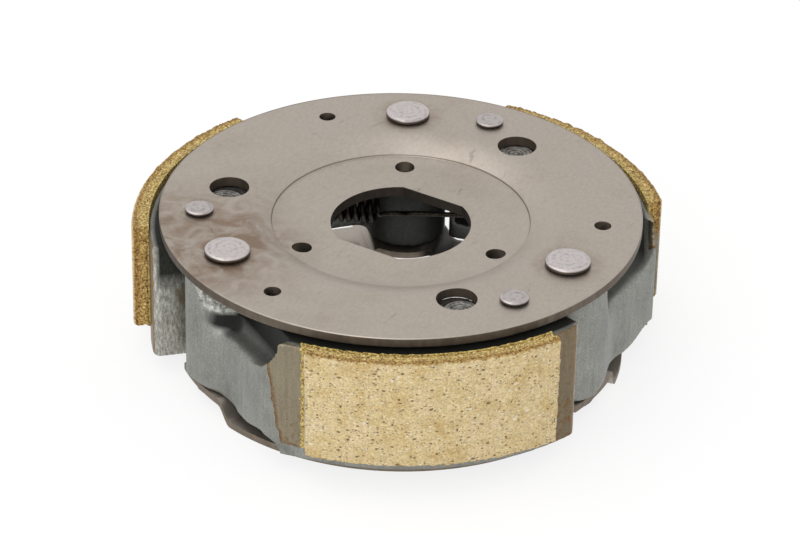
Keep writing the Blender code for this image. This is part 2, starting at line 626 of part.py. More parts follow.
def retaining_plate():
    """A ring stamped with a raised pad under each pivot, so that pins and clips stay above its base."""
    pitch = 360 / SHOE_COUNT
    pad = [-PAD_HALF_ANGLE + step * PAD_HALF_ANGLE / 4 for step in range(9)]
    low_steps = 10
    low = [PAD_FOOT_ANGLE + (pitch - 2 * PAD_FOOT_ANGLE) * step / low_steps for step in range(low_steps + 1)]
    angles = [(angle, turn) for turn in range(SHOE_COUNT) for angle in pad + low]
    bm = bmesh.new()
    sections = []
    for angle, turn in angles:
        nearest = angle if angle < pitch / 2 else angle - pitch
        top = ring_level(nearest)
        inner = polar(ring_bore(nearest), angle + turn * pitch)
        outer = polar(RING_RADIUS, angle + turn * pitch)
        corners = [(inner, top), (outer, top), (outer, top - RING_THICKNESS), (inner, top - RING_THICKNESS)]
        sections.append([bm.verts.new((point.x, point.y, height)) for point, height in corners])
    for index, section in enumerate(sections):
        following = sections[(index + 1) % len(sections)]
        for side in range(4):
            other = (side + 1) % 4
            bm.faces.new((section[side], section[other], following[other], following[side]))
    ring = mesh_object("retaining_plate", bm)
    hole = PIN_NECK_RADIUS + CLEARANCE
    holes = [circle(polar(PIVOT_RADIUS, turn * pitch), hole, 20) for turn in range(SHOE_COUNT)]
    boolean(ring, prisms("pin_holes", holes, PAD_UNDER - OVERSHOOT, PAD_TOP + OVERSHOOT))
    start, end = RING_NOTCH
    axis = Vector((0, 0))
    notches = []
    for turn in range(SHOE_COUNT):
        inside = arc(axis, RING_NOTCH_RADIUS, start + turn * pitch, end + turn * pitch, 4)
        outside = arc(axis, RING_RADIUS + 2 * OVERSHOOT, end + turn * pitch, start + turn * pitch, 4)
        notches.append(inside + outside)
    boolean(ring, prisms("notches", notches, PAD_UNDER - RING_STEP - OVERSHOOT, PAD_TOP + OVERSHOOT))
    return ring


def e_clip(name):
    """A stamped clip with three jaws that close on the pin's groove, open towards the clutch axis."""
    grip = GROOVE_RADIUS + CLEARANCE
    blank = cylinder(name, Vector((0, 0)), CLIP_RADIUS, CLIP_UNDER, CLIP_TOP, 28)
    low, high = CLIP_UNDER - OVERSHOOT, CLIP_TOP + OVERSHOOT
    mouth = math.degrees(math.asin(CLIP_MOUTH / grip))
    jaw = 22
    inner = CLIP_RADIUS - CLIP_BAND
    origin = Vector((0, 0))
    opening = []
    for start, end, radius in (
        (180 + mouth, 180 + mouth + jaw, grip),
        (180 + mouth + jaw, 360 - jaw, inner),
        (360 - jaw, 360 + jaw, grip),
        (360 + jaw, 540 - mouth - jaw, inner),
        (540 - mouth - jaw, 540 - mouth, grip),
    ):
        opening += arc(origin, radius, start, end, 4)
    reach = 2 * CLIP_RADIUS
    opening += [Vector((-reach, CLIP_MOUTH)), Vector((-reach, -CLIP_MOUTH))]
    boolean(blank, prism("clip_opening", opening, low, high))
    return blank


def return_spring(name):
    """An extension spring: a loop over a peg, a long straight leg past the boss, a coil and a loop."""
    start = polar(*PEG_PLACE_TAIL)
    end = polar(PEG_CIRCLE, PEG_HEAD_ANGLE + 360 / SHOE_COUNT)
    length = (end - start).length
    along = (end - start) / length
    across = Vector((-along.y, along.x))
    foot = -start.dot(along)
    loop = PEG_RADIUS + CLEARANCE + SPRING_WIRE
    coil = SPRING_RADIUS - SPRING_WIRE
    gap = 35  # half the opening of each loop, in degrees
    loop_steps, turn_steps = 9, 10
    path = []

    def place(distance, side, height):
        point = start + along * distance + across * side
        path.append(Vector((point.x, point.y, SPRING_LEVEL + height)))

    for step in range(loop_steps + 1):
        angle = math.radians(-gap - (360 - 2 * gap) * step / loop_steps)
        place(loop * math.cos(angle), loop * math.sin(angle), 0)
    place(2 * loop, SPRING_WIRE, 0)
    place(foot + COIL_FROM - 2 * SPRING_WIRE, SPRING_WIRE, 0)
    coil_length = length - COIL_GAP - foot - COIL_FROM
    steps = int(coil_length / (2 * SPRING_WIRE * COIL_PITCH)) * turn_steps
    for step in range(steps + 1):
        angle = 2 * math.pi * step / turn_steps
        distance = foot + COIL_FROM + coil_length * step / steps
        place(distance, coil * math.cos(angle), coil * math.sin(angle))
    for step in range(loop_steps + 1):
        angle = math.radians(180 - gap - (360 - 2 * gap) * step / loop_steps)
        place(length + loop * math.cos(angle), loop * math.sin(angle), 0)
    return wire(name, path, SPRING_WIRE, 6)


def wire(name, path, radius, sides):
    """A round wire swept along a path of points."""
    bm = bmesh.new()
    rings = []
    up = Vector((0, 0, 1))
    for index, point in enumerate(path):
        before = path[max(index - 1, 0)]
        after = path[min(index + 1, len(path) - 1)]
        tangent = (after - before).normalized()
        side = up - tangent * up.dot(tangent)
        side.normalize()
        up = side
        other = tangent.cross(side)
        ring = []
        for step in range(sides):
            angle = 2 * math.pi * step / sides
            ring.append(bm.verts.new(point + (side * math.cos(angle) + other * math.sin(angle)) * radius))
        rings.append(ring)
    for before, after in zip(rings, rings[1:]):
        for step in range(sides):
            following = (step + 1) % sides
            bm.faces.new((before[step], before[following], after[following], after[step]))
    bm.faces.new(rings[0])
    bm.faces.new(rings[-1])
    return mesh_object(name, bm)


def build():
    clear_scene()
    steel = material("phosphated steel", (0.36, 0.33, 0.30), 1.0, 0.45)
    rivet_steel = material("bright rivet steel", (0.55, 0.53, 0.52), 1.0, 0.35)
    cast = material("die-cast aluminium", (0.45, 0.47, 0.47), 1.0, 0.5)
    friction = material("friction lining", (0.62, 0.50, 0.26), 0.0, 0.9)
    rubber = material("damper rubber", (0.03, 0.03, 0.03), 0.0, 0.8)
    spring_steel = material("spring steel", (0.40, 0.38, 0.36), 1.0, 0.35)

    finish(drive_plate(), steel)
    finish(retaining_plate(), steel)
    pin, stub = pivot_pin("pivot_pin_1"), damper_stub("damper_stub_1")
    sleeve, clip = damper_rubber("damper_rubber_1"), e_clip("e_clip_1")
    first_shoe, first_lining = shoe("shoe_1"), lining("lining_1")
    spring = return_spring("return_spring_1")
    for number in range(1, SHOE_COUNT + 1):
        turn = (number - 1) * 360 / SHOE_COUNT
        sector = bpy.data.objects.new(f"sector_{number}", None)
        pivot = bpy.data.objects.new(f"pivot_{number}", None)
        for empty in (sector, pivot):
            bpy.context.scene.collection.objects.link(empty)
        sector.rotation_euler.z = math.radians(turn)
        pivot.parent = sector
        pivot.location.x = PIVOT_RADIUS
        stub_place = polar(*STUB_PLACE).to_3d()
        for source, surface, parent, place in (
            (pin, rivet_steel, pivot, None),
            (stub, rivet_steel, sector, stub_place),
            (sleeve, rubber, sector, stub_place),
            (clip, spring_steel, pivot, None),
            (first_shoe, cast, pivot, None),
            (first_lining, friction, pivot, None),
            (spring, spring_steel, sector, None),
        ):
            piece = source if number == 1 else copy_of(source, source.name[:-1] + str(number))
            finish(piece, surface, parent, place)


build()
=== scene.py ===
"""Looks of a centrifugal clutch with three cast shoes, laid out as an add-on and run as a script.

The clutch's frame is loaded first. Each operator then makes one kind of piece at the place that the
frame gives it: the pressed plates, the rivets, the cast shoes, the moulded linings, the springs and clips.
"""

import json
import math
from functools import cache, partial
from itertools import product
from math import radians

import bmesh
import bpy
import numpy as np
from bpy.props import FloatProperty, FloatVectorProperty, IntProperty, PointerProperty
from mathutils import Matrix, Vector, noise


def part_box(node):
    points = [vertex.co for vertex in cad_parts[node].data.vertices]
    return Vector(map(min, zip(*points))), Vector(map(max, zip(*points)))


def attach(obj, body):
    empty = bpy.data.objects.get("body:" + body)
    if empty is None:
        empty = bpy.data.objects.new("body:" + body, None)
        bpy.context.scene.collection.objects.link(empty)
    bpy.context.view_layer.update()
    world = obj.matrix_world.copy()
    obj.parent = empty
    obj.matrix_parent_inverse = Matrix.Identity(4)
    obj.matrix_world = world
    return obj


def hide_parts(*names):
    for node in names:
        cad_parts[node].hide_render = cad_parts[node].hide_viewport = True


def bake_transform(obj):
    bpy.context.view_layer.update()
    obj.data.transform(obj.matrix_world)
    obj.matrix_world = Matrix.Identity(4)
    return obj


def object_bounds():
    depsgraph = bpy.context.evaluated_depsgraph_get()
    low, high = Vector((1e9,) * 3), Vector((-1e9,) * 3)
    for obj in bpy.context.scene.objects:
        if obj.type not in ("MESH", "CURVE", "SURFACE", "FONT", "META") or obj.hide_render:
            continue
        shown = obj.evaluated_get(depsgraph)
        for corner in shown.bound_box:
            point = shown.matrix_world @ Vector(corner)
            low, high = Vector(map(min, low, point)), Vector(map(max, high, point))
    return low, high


bl_info = {
    "name": "Centrifugal Clutch Looks",
    "version": (1, 0, 0),
    "blender": (4, 5, 0),
    "location": "3D View > Sidebar > Clutch",
    "description": "Makes the finished pieces of a three-shoe centrifugal clutch round its frame",
    "category": "Object",
}

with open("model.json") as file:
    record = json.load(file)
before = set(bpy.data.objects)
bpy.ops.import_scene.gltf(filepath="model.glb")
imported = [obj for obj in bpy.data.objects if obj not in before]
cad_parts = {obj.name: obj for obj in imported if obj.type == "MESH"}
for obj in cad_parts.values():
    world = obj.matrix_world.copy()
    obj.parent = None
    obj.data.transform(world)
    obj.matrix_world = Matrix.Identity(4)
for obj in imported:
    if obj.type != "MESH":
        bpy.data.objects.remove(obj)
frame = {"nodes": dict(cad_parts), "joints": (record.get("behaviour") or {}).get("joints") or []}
CAD_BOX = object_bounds()

MM = 0.001
SHOES = (1, 2, 3)
PITCH = 2 * math.pi / len(SHOES)

# Places and sizes that the frame gives
PLATE_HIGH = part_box("drive_plate")[1]
PLATE_RADIUS = PLATE_HIGH.x
PLATE_TOP = PLATE_HIGH.z
PIN_LOW, PIN_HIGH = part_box("pivot_pin_1")
STUB_LOW, STUB_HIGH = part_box("damper_stub_1")
PIVOT = Vector(frame["joints"][0]["pos_m"])
STUB = Vector(((STUB_LOW.x + STUB_HIGH.x) / 2, (STUB_LOW.y + STUB_HIGH.y) / 2, 0))
LINING_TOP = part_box("lining_1")[1].z
SHOE_LOW, SHOE_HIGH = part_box("shoe_1")
FLOOR = CAD_BOX[0].z

# Sizes of the pressed plate, as the solid has them
PLATE_THICKNESS = 2.1 * MM
LAND_DEPTH = 3.17 * MM
LAND_RADIUS = 24.7 * MM
STEP_RADIUS = 25.8 * MM
STEP_DEPTH = 2.15 * MM
DISH_RADIUS = 30.7 * MM
BORE_RADIUS = 14.0 * MM
BORE_FLAT = 12.15 * MM
HOLES = (  # radius of the circle, degrees from a pivot, hole radius
    (35.2 * MM, 79.7, 4.0 * MM),
    (40.2 * MM, 24.4, 1.7 * MM),
    (22.0 * MM, 0.0, 2.0 * MM),
    (PIVOT.x, 0.0, 3.9 * MM),
    (STUB.length, math.degrees(math.atan2(STUB.y, STUB.x)), 2.2 * MM),
)

# Sizes of the other solids
SEAT_RADIUS = 50.1 * MM
LINING_RADIUS = 53.5 * MM
LINING_INNER = 50.4 * MM
LINING_START, LINING_END = 41.9, 97.0  # degrees from the shoe's pivot
STRIP_START, STRIP_END = 33.2, 104.6  # the turned strip that the lining is bonded on
BOSS_RADIUS = 8.3 * MM
FACE = PIVOT.x + 5.3 * MM  # flat face of the shoe, from the clutch axis
BLEND_END = 12.5 * MM  # along the face, where the wide blend from the boss runs out
SPOT_FACE = (35.9 * MM, 81.0)  # under each window: from the axis, and degrees from the pivot
PEG_RADIUS = 34.5 * MM
TAIL_PEG, HEAD_PEG = 83.5, 36.0  # the springs' pegs, degrees from their own shoe's pivot
PIN_HOLE = 4.3 * MM
STAINS = (44 * MM, 232)  # middle of the handling stains, on the left of the photograph

# The photograph's camera, fitted to the plate's rim, step, bore and holes
CAMERA_TURN = 31.53  # degrees round the clutch
CAMERA_RISE = 31.372
CAMERA_ROLL = 1.151
CAMERA_AWAY = 735.89 * MM
CAMERA_SHIFT = (-0.21 * MM, -11.477 * MM)  # along its own right and up
CAMERA_LENS = 166.797


def linear(code):
    """A colour written in sRGB hex, as linear red, green and blue."""
    parts = [int(code[place : place + 2], 16) / 255 for place in (1, 3, 5)]
    return tuple(part / 12.92 if part <= 0.04045 else ((part + 0.055) / 1.055) ** 2.4 for part in parts)


def colour_setting(name, description, code):
    return FloatVectorProperty(
        name=name, description=description, subtype="COLOR", size=3, min=0.0, max=1.0, default=linear(code)
    )


def size_setting(name, description, millimetres):
    size = millimetres * MM
    return FloatProperty(
        name=name, description=description, subtype="DISTANCE", unit="LENGTH", min=0.0, default=size
    )


class ClutchSteelLooks(bpy.types.PropertyGroup):
    plate: colour_setting("Plate", "Phosphated steel of the two plates", "#AAA197")
    stain: colour_setting("Stain", "Brown handling stain on the plates", "#83705F")
    # The sheared edge's colour is darkened partly as a painted dark reflection
    sheared_and_shaded: colour_setting("Sheared edge", "Sheared edge of the plates", "#6F655A")
    rivet: colour_setting("Rivet", "Bright steel of the riveted heads", "#BDB6B4")
    rim_chamfer: size_setting("Rim chamfer", "Worn chamfer on the drive plate's rim", 0.22)
    hole_break: size_setting("Hole break", "Broken edge of the punched holes", 0.12)


class ClutchShoeLooks(bpy.types.PropertyGroup):
    casting: colour_setting("Casting", "Die-cast aluminium", "#92938D")
    strip: colour_setting("Machined strip", "Turned aluminium beside the lining, tinted by resin", "#8F8672")
    resin: colour_setting("Resin", "Brown resin at the edge of the machined strip", "#74502A")
    skin: size_setting("Casting skin", "Size of the cells that round the casting's edges", 0.34)
    grit: size_setting("Casting grit", "Grain of the casting's surface", 0.35)


class ClutchLiningLooks(bpy.types.PropertyGroup):
    face: colour_setting("Face", "Ground face of the friction lining", "#C8B58A")
    edge: colour_setting("Edge", "Cut edge of the friction lining", "#B89C60")
    glue: colour_setting("Glue", "Adhesive that shows round the lining", "#C6AE5E")
    speck: size_setting("Speck", "Size of the mineral specks", 0.9)
    ragged: size_setting("Ragged edge", "How far the fibres stand out at the edges", 0.32)


class ClutchStageLooks(bpy.types.PropertyGroup):
    backdrop: colour_setting("Backdrop", "Floor and background", "#FFFFFF")
    sky: FloatProperty(name="Sky", description="Strength of the even light all round", min=0.0, default=0.8)
    paper: FloatProperty(
        name="Paper glow", description="How much of the floor shows as plain paper, without shadow",
        subtype="FACTOR", min=0.0, max=1.0, default=0.8,
    )
    key: FloatProperty(
        name="Key", description="Power of the large lamp in front",
        subtype="POWER", unit="POWER", min=0.0, default=3.0,
    )
    rim_steps: IntProperty(name="Rim steps", description="Steps round the drive plate", min=24, default=240)


# Mesh helpers


def polar(radius, degrees):
    angle = radians(degrees)
    return Vector((radius * math.cos(angle), radius * math.sin(angle)))


def new_object(name, mesh, finish=None, smooth=35):
    """An object for a mesh, smooth where its faces meet under an angle in degrees."""
    obj = bpy.data.objects.new(name, mesh)
    bpy.context.scene.collection.objects.link(obj)
    mesh.shade_smooth()
    mesh.set_sharp_from_angle(angle=radians(smooth))
    if finish:
        mesh.materials.clear()
        mesh.materials.append(finish)
    return obj


def mesh_from(name, bm):
    bmesh.ops.recalc_face_normals(bm, faces=bm.faces)
    mesh = bpy.data.meshes.new(name)
    bm.to_mesh(mesh)
    bm.free()
    return mesh


def turned(name, profile, steps):
    """A closed (radius, height) profile spun about Z."""
    bm = bmesh.new()
    rim = [bm.verts.new((radius, 0, height)) for radius, height in profile]
    sides = [bm.edges.new((rim[i - 1], rim[i])) for i in range(len(rim))]
    bmesh.ops.spin(bm, geom=rim + sides, axis=(0, 0, 1), angle=2 * math.pi, steps=steps, use_merge=True)
    bmesh.ops.remove_doubles(bm, verts=bm.verts, dist=1e-7)
    bmesh.ops.delete(bm, geom=[edge for edge in bm.edges if not edge.link_faces], context="EDGES")
    return mesh_from(name, bm)


def eased(profile, radius, steps=3):
    """Rounds the corners of a (radius, height) profile that lie off the axis."""
    points = []
    for index, corner in enumerate(profile):
        here = Vector(corner)
        before = Vector(profile[index - 1]) - here
        after = Vector(profile[(index + 1) % len(profile)]) - here
        reach = min(radius, before.length * 0.45, after.length * 0.45)
        if here.x == 0 or reach == 0:
            points.append(corner)
            continue
        start, end = here + before.normalized() * reach, here + after.normalized() * reach
        for step in range(steps + 1):
            t = step / steps
            points.append(tuple(start * (1 - t) ** 2 + here * 2 * t * (1 - t) + end * t**2))
    return points


def circle(centre, radius, steps):
    return [centre + polar(radius, 360 / steps * step) for step in range(steps)]


def cutters(name, outlines, low, high):
    """Closed outlines in XY, extruded into one mesh of separate prisms."""
    bm = bmesh.new()
    floors = [bm.faces.new([bm.verts.new((p.x, p.y, low)) for p in outline]) for outline in outlines]
    raised = bmesh.ops.extrude_face_region(bm, geom=floors, use_keep_orig=True)["geom"]
    tops = [item for item in raised if isinstance(item, bmesh.types.BMVert)]
    bmesh.ops.translate(bm, verts=tops, vec=(0, 0, high - low))
    return new_object(name, mesh_from(name, bm))


def configure(thing, settings):
    """Gives a node or a modifier its settings."""
    for name, value in settings.items():
        setattr(thing, name, value)


def modified(obj, kind, **settings):
    """The object, with one modifier applied to its mesh."""
    configure(obj.modifiers.new("applied", kind), settings)
    graph = bpy.context.evaluated_depsgraph_get()
    mesh = bpy.data.meshes.new_from_object(obj.evaluated_get(graph))
    obj.modifiers.clear()
    obj.data = mesh
    return obj


def cut_with(obj, tool):
    modified(obj, "BOOLEAN", solver="EXACT", object=tool)
    bpy.data.objects.remove(tool, do_unlink=True)


def ease_edges(obj, width):
    modified(obj, "BEVEL", width=width, segments=2, angle_limit=radians(40), use_clamp_overlap=True)


def worked_copy(node, name, cell, rounds, keep):
    """A copy of a solid with its edges rounded, as casting, moulding or tumbling leaves them."""
    obj = new_object(name, frame["nodes"][node].data.copy())
    modified(obj, "REMESH", mode="VOXEL", voxel_size=cell)
    modified(obj, "SMOOTH", iterations=rounds, factor=0.5)
    if keep < 1:
        modified(obj, "DECIMATE", ratio=keep)
    return obj


def coordinates(mesh):
    places = np.empty(len(mesh.vertices) * 3, np.float32)
    mesh.vertices.foreach_get("co", places)
    return places.reshape(-1, 3).astype(float)


def set_coordinates(mesh, places):
    mesh.vertices.foreach_set("co", places.astype(np.float32).ravel())
    mesh.update()


def true_cylinder(places, centre, radius, slack):
    """Moves points that nearly lie on an upright cylinder exactly onto it."""
    away = places[:, :2] - np.array(centre)[:2]
    distance = np.hypot(away[:, 0], away[:, 1])
    near = np.abs(distance - radius) < slack
    places[near, :2] = np.array(centre)[:2] + away[near] * (radius / distance[near])[:, None]
    return places


def rise(values, start, end):
    """0 up to the start, 1 from the end on, and an even rise between them."""
    return np.clip((values - start) / (end - start), 0, 1)


def relaxed(mesh, places, weight, rounds):
    """Points moved over and over towards the mean of their neighbours, each by its own weight."""
    edges = np.empty(len(mesh.edges) * 2, np.int32)
    mesh.edges.foreach_get("vertices", edges)
    one, other = np.concatenate((edges.reshape(-1, 2), edges.reshape(-1, 2)[:, ::-1])).T
    neighbours = np.bincount(one, minlength=len(places))[:, None]
    for _ in range(rounds):
        sums = np.stack([np.bincount(one, places[other, axis], len(places)) for axis in range(3)], 1)
        places = places + 0.6 * weight[:, None] * (sums / neighbours - places)
    return places


def in_thirds(mesh, stem, finish, body, node=None, at=None):
    """Three copies of a piece's mesh, each turned to its own third of the clutch and carried by its body."""
    for number in SHOES:
        turn = Matrix.Rotation((number - 1) * PITCH, 4, "Z")
        own = mesh.copy()
        if not at:
            own.transform(turn)
        obj = new_object(f"{stem}_{number}", own, finish)
        if at:
            obj.matrix_world = turn @ Matrix.Translation(at)
        else:
            obj["turn_back"] = (1 - number) * PITCH
        if node:
            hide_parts(f"{node}_{number}")
        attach(obj, body.format(number))


# Material helpers

MAIN_CHOICE = {"Mix": "blend_type", "MapRange": "interpolation_type", "VectorRotate": "rotation_type"}


def feed(node, inputs):
    """Sets a node's inputs, by name or in order, to values or to the nodes and sockets that give them."""
    if not isinstance(inputs, dict):
        open_inputs = [index for index, socket in enumerate(node.inputs) if socket.enabled]
        inputs = dict(zip(open_inputs, inputs))
    for name, source in inputs.items():
        socket = node.inputs[name]
        if isinstance(source, bpy.types.Node):
            source = next(output for output in source.outputs if output.enabled)
        if isinstance(source, bpy.types.NodeSocket):
            node.id_data.links.new(source, socket)
        else:
            socket.default_value = (*source, 1) if socket.type == "RGBA" else source


def add_node(tree, kind, inputs=(), choice=None, **settings):
    """Adds one node with its inputs, its main choice or its colour stops, and other settings.

    A Mix node mixes colours if not told. In order, noise takes its place, scale, detail, roughness,
    lacunarity and distortion. A stop is a place with a grey level, a hex code or a linear colour."""
    node = tree.nodes.new("ShaderNode" + kind)
    if kind == "Mix":
        node.data_type = "RGBA"
    if kind == "ValToRGB":
        elements = node.color_ramp.elements
        while len(elements) < len(choice):
            elements.new(1.0)
        for element, (place, colour) in zip(elements, choice):
            if isinstance(colour, str):
                colour = linear(colour)
            element.position = place
            element.color = (colour, colour, colour, 1) if isinstance(colour, float) else (*colour, 1)
    elif choice:
        setattr(node, MAIN_CHOICE.get(kind, "operation"), choice)
    configure(node, settings)
    feed(node, inputs)
    return node


def per(millimetres):
    """Noise scale that gives features of about this size."""
    return 1000 / millimetres


def shade(level, colour=(1, 1, 1)):
    """A grey of this level, or a colour made lighter or darker by it."""
    return tuple(level * part for part in colour)


def new_finish(name, metallic, roughness):
    """A new material, what adds its nodes, its shader, and its place turned back to the first third."""
    made = bpy.data.materials.new(name)
    made.use_nodes = True
    add = partial(add_node, made.node_tree)
    shader = made.node_tree.nodes["Principled BSDF"]
    feed(shader, {"Metallic": metallic, "Roughness": roughness})
    place = add("TexCoord").outputs["Object"]
    angle = add("Attribute", attribute_type="OBJECT", attribute_name="turn_back").outputs["Fac"]
    place = add("VectorRotate", {"Vector": place, "Angle": angle}, "Z_AXIS")
    return made, add, shader, place


def round_axis(add, place):
    """The place's parts, its point in plan, and its distance and angle from the clutch's axis."""
    parts = add("SeparateXYZ", (place,))
    x, y, z = (parts.outputs[name] for name in "XYZ")
    plan = add("CombineXYZ", (x, y))
    radius = add("VectorMath", (plan,), "LENGTH")
    angle = add("Math", (y, x), "ARCTAN2")
    return x, y, z, plan, radius, angle


def raise_skin(add, shader, height, strength, depth):
    """The fine relief of a finish, so deep in metres."""
    feed(shader, {"Normal": add("Bump", {"Height": height, "Strength": strength, "Distance": depth})})


def facing_up(add, normal):
    """How far the surface faces up, from 1 through 0 when it stands upright to -1."""
    return add("SeparateXYZ", (add("NewGeometry").outputs[normal],)).outputs["Z"]


def masked(add, *masks):
    """The masks multiplied together."""
    together = masks[0]
    for mask in masks[1:]:
        together = add("Math", (together, mask), "MULTIPLY")
    return together


@cache
def phosphated_steel():
    """Cold-rolled mild steel, pressed and phosphated: warm grey, even and softly bright, with faint rolling
    grain, brown handling stains round the rivets, dull scuffs, a darker sheared edge that is partly a
    painted dark reflection, and painted shade on the low plate's ramps and in the bore."""
    looks = bpy.context.scene.clutch_steel
    made, add, shader, place = new_finish("phosphated_mild_steel", 1.0, 0.42)
    _, _, z, _, radius, angle = round_axis(add, place)
    stretched = add("Mapping", {"Vector": place, "Scale": (1, 0.4, 1), "Rotation": (0, 0, radians(20))})
    grain = add("TexNoise", (stretched, per(0.5), 5))
    cloud = add("TexNoise", (place, per(16), 4, 0.6))
    smear = add("TexNoise", (place, per(5), 6, 0.5, 2, 1.2))
    # Handling stains gather round the rivets
    centre = polar(*STAINS)
    reach = add("VectorMath", (place, (centre.x, centre.y, PLATE_TOP)), "DISTANCE")
    near = add("MapRange", (reach, 32 * MM, 6 * MM, 0.0, 0.78), "SMOOTHSTEP")
    patch = add("MapRange", (cloud, 0.5, 0.7, 0, 0.16))
    # A brown halo round each of the three pivots: the plate's plan is folded into one third
    folded = add("Math", (angle, -PITCH / 2, PITCH / 2), "WRAP")
    arm = add("CombineXYZ", (radius,))
    turned_arm = add("VectorRotate", {"Vector": arm, "Angle": folded}, "Z_AXIS")
    away = add("VectorMath", (turned_arm, (PIVOT.x, 0, 0)), "DISTANCE")
    halo = add("MapRange", (away, 8.5 * MM, 4.8 * MM, 0, 0.4), "SMOOTHSTEP")
    either = add("Math", (near, patch), "ADD")
    either = add("Math", (either, halo), "ADD")
    broken = add("MapRange", (smear, 0.35, 0.65, 0.25, 1.25))
    strong = add("Math", (broken, either), "MULTIPLY", use_clamp=True)
    base = add("Mix", (strong, looks.plate, looks.stain))
    fine = add("ValToRGB", (grain,), [(0.3, 0.94), (0.66, 1.05)])
    grained = add("Mix", (1.0, base, fine), "MULTIPLY")
    # Dull scuffs, a few millimetres long
    slanted = add("Mapping", {"Vector": place, "Scale": (1, 0.35, 1), "Rotation": (0, 0, radians(-35))})
    scuff = add("TexNoise", (slanted, per(2.4), 6, 0.62, 2, 0.8))
    scuffed = add("ValToRGB", (scuff,), [(0.27, 0.62), (0.36, 1.0)])
    marked = add("Mix", (0.8, grained, scuffed), "MULTIPLY")
    # Faces that stand upright are sheared edges: darker partly by their own colour and partly as a painted
    # dark reflection
    steep = add("Math", (facing_up(add, "True Normal"),), "ABSOLUTE")
    sheared_and_shaded = add("MapRange", (steep, 0.45, 0.25))
    upright = add("Mapping", {"Vector": place, "Scale": (1, 1, 0.35)})
    streak = add("TexNoise", (upright, per(1.4), 6))
    streaks = [(0.3, shade(0.8, looks.sheared_and_shaded)), (0.7, shade(1.15, looks.sheared_and_shaded))]
    edge_colour = add("ValToRGB", (streak,), streaks)
    # Painted light makes the low plate's edge lighter; painted shade darkens the bore's wall; the rim beside
    # the stains is darker with their grime
    low_edge = add("MapRange", (z, -10 * MM, -12 * MM, 1.0, 1.45))
    # Painted shade inside the bore
    bore = add("MapRange", (radius, 15.5 * MM, 14.8 * MM, 1.0, 0.4))
    grimy = add("MapRange", (near, 0.0, 0.78, 1.0, 0.66))
    level = masked(add, low_edge, bore, grimy)
    edge_tone = add("Mix", (1.0, edge_colour, level), "MULTIPLY")
    both = add("Mix", (sheared_and_shaded, marked, edge_tone))
    # Painted shade blackens the low plate's ramps on the trailing side of each pivot, where the shoes shade
    # them, and takes their reflection away
    ramp = add("MapRange", (folded, -0.1, -0.16))
    deep = add("MapRange", (z, -12 * MM, -13.5 * MM))
    inner = add("MapRange", (radius, 42.5 * MM, 40.5 * MM, 0, 0.9))
    black = masked(add, ramp, deep, inner)
    edged = add("Mix", (black, both, linear("#080705")))
    unshaded = add("Math", (1.0, black), "SUBTRACT")
    sheen = add("MapRange", (black, 0, 1, 0.5, 0.08))
    rough = add("MapRange", (cloud, 0, 1, 0.36, 0.52))
    rougher = add("Math", (sheared_and_shaded, 0.12, rough), "MULTIPLY_ADD")
    height = add("Math", (smear, 0.3, grain), "MULTIPLY_ADD")
    feed(shader, {"Base Color": edged, "Metallic": unshaded, "Specular IOR Level": sheen, "Roughness": rougher})
    raise_skin(add, shader, height, 0.15, 0.03 * MM)
    return made


@cache
def riveted_steel():
    """Free-cutting steel, orbitally riveted: bright and silvery, with faint swirls that the tool left,
    small scuffs, and the side of each head painted dark as shade."""
    looks = bpy.context.scene.clutch_steel
    made, add, shader, place = new_finish("orbitally_riveted_steel", 1.0, 0.36)
    flat = add("Mapping", {"Vector": place, "Scale": (1, 1, 0), "Location": (0.3 * MM, -0.2 * MM, 0)})
    rings = add(
        "TexWave",
        {"Vector": flat, "Scale": per(4.2), "Distortion": 1.4, "Detail": 4.0, "Detail Scale": 0.6},
        wave_type="RINGS", rings_direction="SPHERICAL",
    )
    patchy = add("TexNoise", (place, per(2.5), 4))
    shown = add("MapRange", (patchy, 0.42, 0.6, 0, 0.5))
    scuff = add("TexNoise", (place, per(0.8), 6, 0.6))
    swirl = add("Mix", (shown, 0.55, rings.outputs["Fac"]), data_type="FLOAT")
    both = add("Math", (swirl, 0.6, scuff), "MULTIPLY_ADD")
    colour = add("ValToRGB", (both,), [(0.55, shade(0.66, looks.rivet)), (0.85, shade(1.05, looks.rivet))])
    # Painted shade: the side of each head is darker than its top
    side = add("MapRange", (facing_up(add, "True Normal"), 0.75, 0.3))
    sided = add("Mix", (side, colour, linear("#6E655E")))
    # The small stubs are duller than the pins
    height = add("SeparateXYZ", (place,)).outputs["Z"]
    small = add("MapRange", (height, STUB_HIGH.z + 0.02 * MM, STUB_HIGH.z, 0, 0.2))
    dulled = add("Mix", (small, sided, linear("#5A5550")))
    rough = add("MapRange", (scuff, 0, 1, 0.48, 0.3))
    feed(shader, {"Base Color": dulled, "Roughness": rough})
    raise_skin(add, shader, both, 0.3, 0.04 * MM)
    return made


